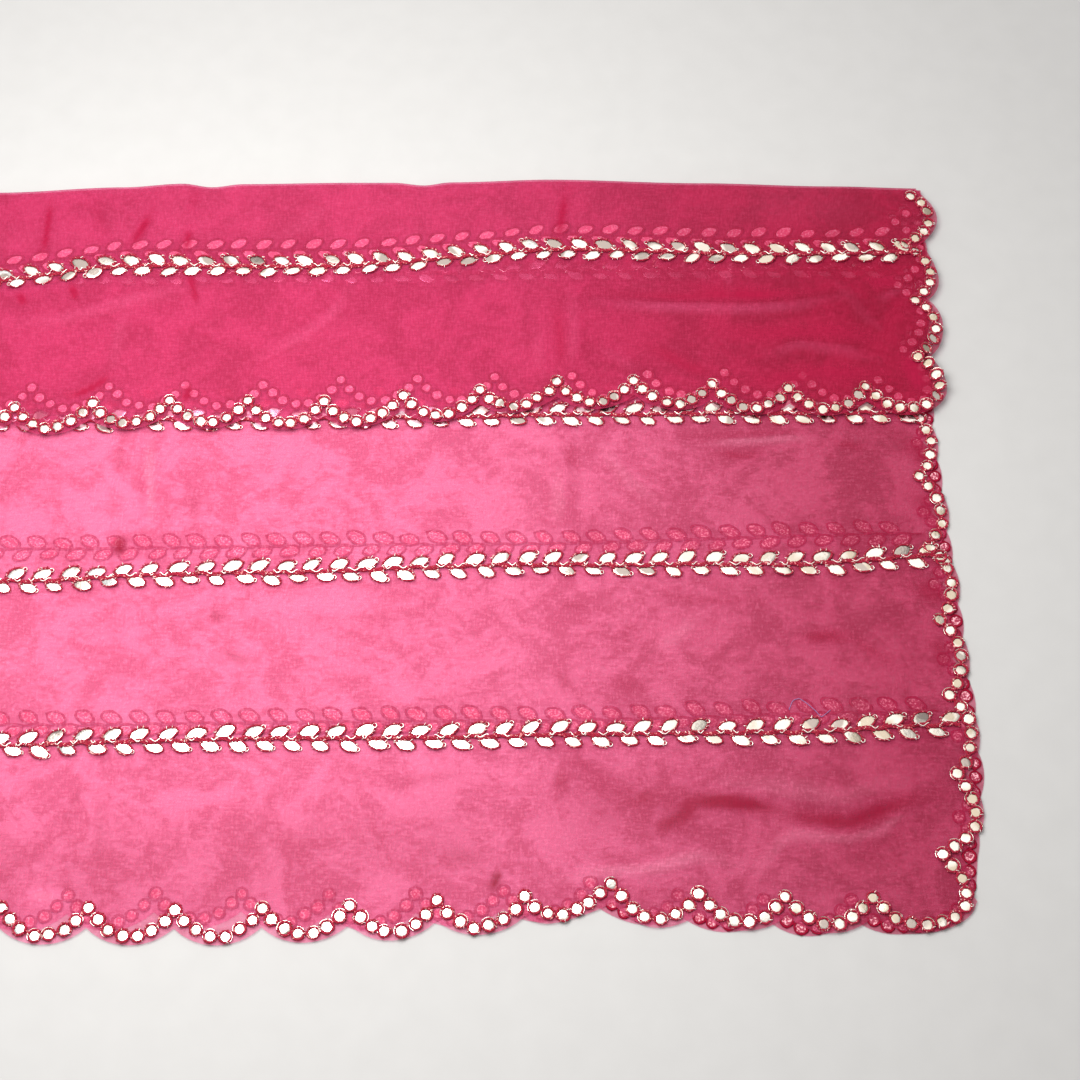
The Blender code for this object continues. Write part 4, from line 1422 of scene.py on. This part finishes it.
# %% [markdown]
# ## Sewing it all on
# Each vine and border of the solids is replaced by its finer work. The work on the wrong side,
# and the row of the front that the flap hides, has no solid of its own.

# %% Sewing on
sewn = {}
for node in ("vine_front_low", "vine_front_middle", "vine_front_high", "vine_flap"):
    sewn[node] = sew(node + "_work", ROW_WORK[node])
    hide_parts(node)
for node in ("discs_front", "discs_flap"):
    sewn[node] = sew(node + "_work", BORDER_WORK[node])
    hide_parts(node)
sewn["front_top"] = sew("front_hidden_vine", ROW_WORK["front_top"])
back_rows = [w for n in ("back_low", "back_middle", "back_high", "back_top") for w in ROW_WORK[n]]
sewn["back"] = sew(
    "back_foil_work", back_rows + BORDER_WORK["back_discs"], BACK_WRONG_SIDE, FRONT
)
sewn["under_flap"] = sew(
    "under_flap_foil_work",
    ROW_WORK["under_flap_row"] + BORDER_WORK["under_flap_discs"], FLAP_WRONG_SIDE, FLAP,
)
for piece in sewn.values():
    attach(piece, "root")

# %% [markdown]
# ## The cloth in place of the solids
# Each stretch of cloth hangs under the root and takes the place of its solid, which is hidden.

# %% Sheets
for piece, node, flat, rests, carried in (
    (back_cloth, "back_panel", (0.698, 1.197), [], ["back"]),
    (front_cloth, "front_panel", (0.705, 1.205), ["back_cloth"],
     ["vine_front_low", "vine_front_middle", "vine_front_high", "front_top", "discs_front"]),
    (under_flap_cloth, "flap_inner", (0.258, 1.195), ["front_cloth"], ["under_flap"]),
    (flap_cloth, "flap_outer", (0.267, 1.210), ["under_flap_cloth"], ["vine_flap", "discs_flap"]),
):
    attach(piece, "root")
    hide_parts(node)

# %% [markdown]
# ## Floor and light
# The stole lies on a plain pale surface that runs far out, so that no edge of it shows. The paper
# gets paler away from the stole, which makes up for the fall of the light there. Pale
# surroundings give an even part of the light, and one large soft light hangs over the left half,
# where the cloth is brightest. A broad panel high at the back is there for the foil: a metal
# shows what it mirrors, so it needs something white to mirror. The picture is shown as it is,
# with no film curve, so that a colour written in hex comes out as that colour.

# %% Floor and light
floor_mesh = bpy.data.meshes.new("floor")
corners = [(-20, -20, 0), (20, -20, 0), (20, 20, 0), (-20, 20, 0)]
floor_mesh.from_pydata(corners, [], [(0, 1, 2, 3)])
floor = bpy.data.objects.new("floor", floor_mesh)
bpy.context.scene.collection.objects.link(floor)
paper, tree, place = new_material("pale_paper")
near_tone = blend(tree, noise(tree, place, 40.0), "#B9B7B4", "#BFBDBA")
from_middle = add(tree, "VectorMath", {"operation": "LENGTH"}, Vector=place).outputs["Value"]
colour = blend(tree, remap(tree, from_middle, 0.9, 3.2), near_tone, "#F6F5F3")
finished(paper, add(tree, "BsdfPrincipled", Base_Color=colour, Roughness=0.85))
floor_mesh.materials.append(paper)


def soft_light(name, place, aim, size, power):
    """A large square light that faces a point."""
    light = bpy.data.lights.new(name, "AREA")
    light.size = size
    light.energy = power
    item = bpy.data.objects.new(name, light)
    item.location = place
    item.rotation_euler = (Vector(aim) - Vector(place)).to_track_quat("-Z", "Y").to_euler()
    item.visible_camera = False
    bpy.context.scene.collection.objects.link(item)
    return item


soft_light("near_window", (-0.08, 0.05, 0.90), (-0.03, 0.0, 0.0), 0.7, 12.5)
soft_light("ceiling_panel", (0.15, 0.75, 1.90), (0.20, 0.0, 0.0), 2.4, 16.0)
world = bpy.data.worlds.new("studio")
world.use_nodes = True
surround = world.node_tree.nodes["Background"].inputs
surround["Color"].default_value = linear("#F4F4F6")
surround["Strength"].default_value = 0.62
bpy.context.scene.world = world
bpy.context.scene.view_settings.view_transform = "Standard"
print("lights: near_window, ceiling_panel, studio surround")
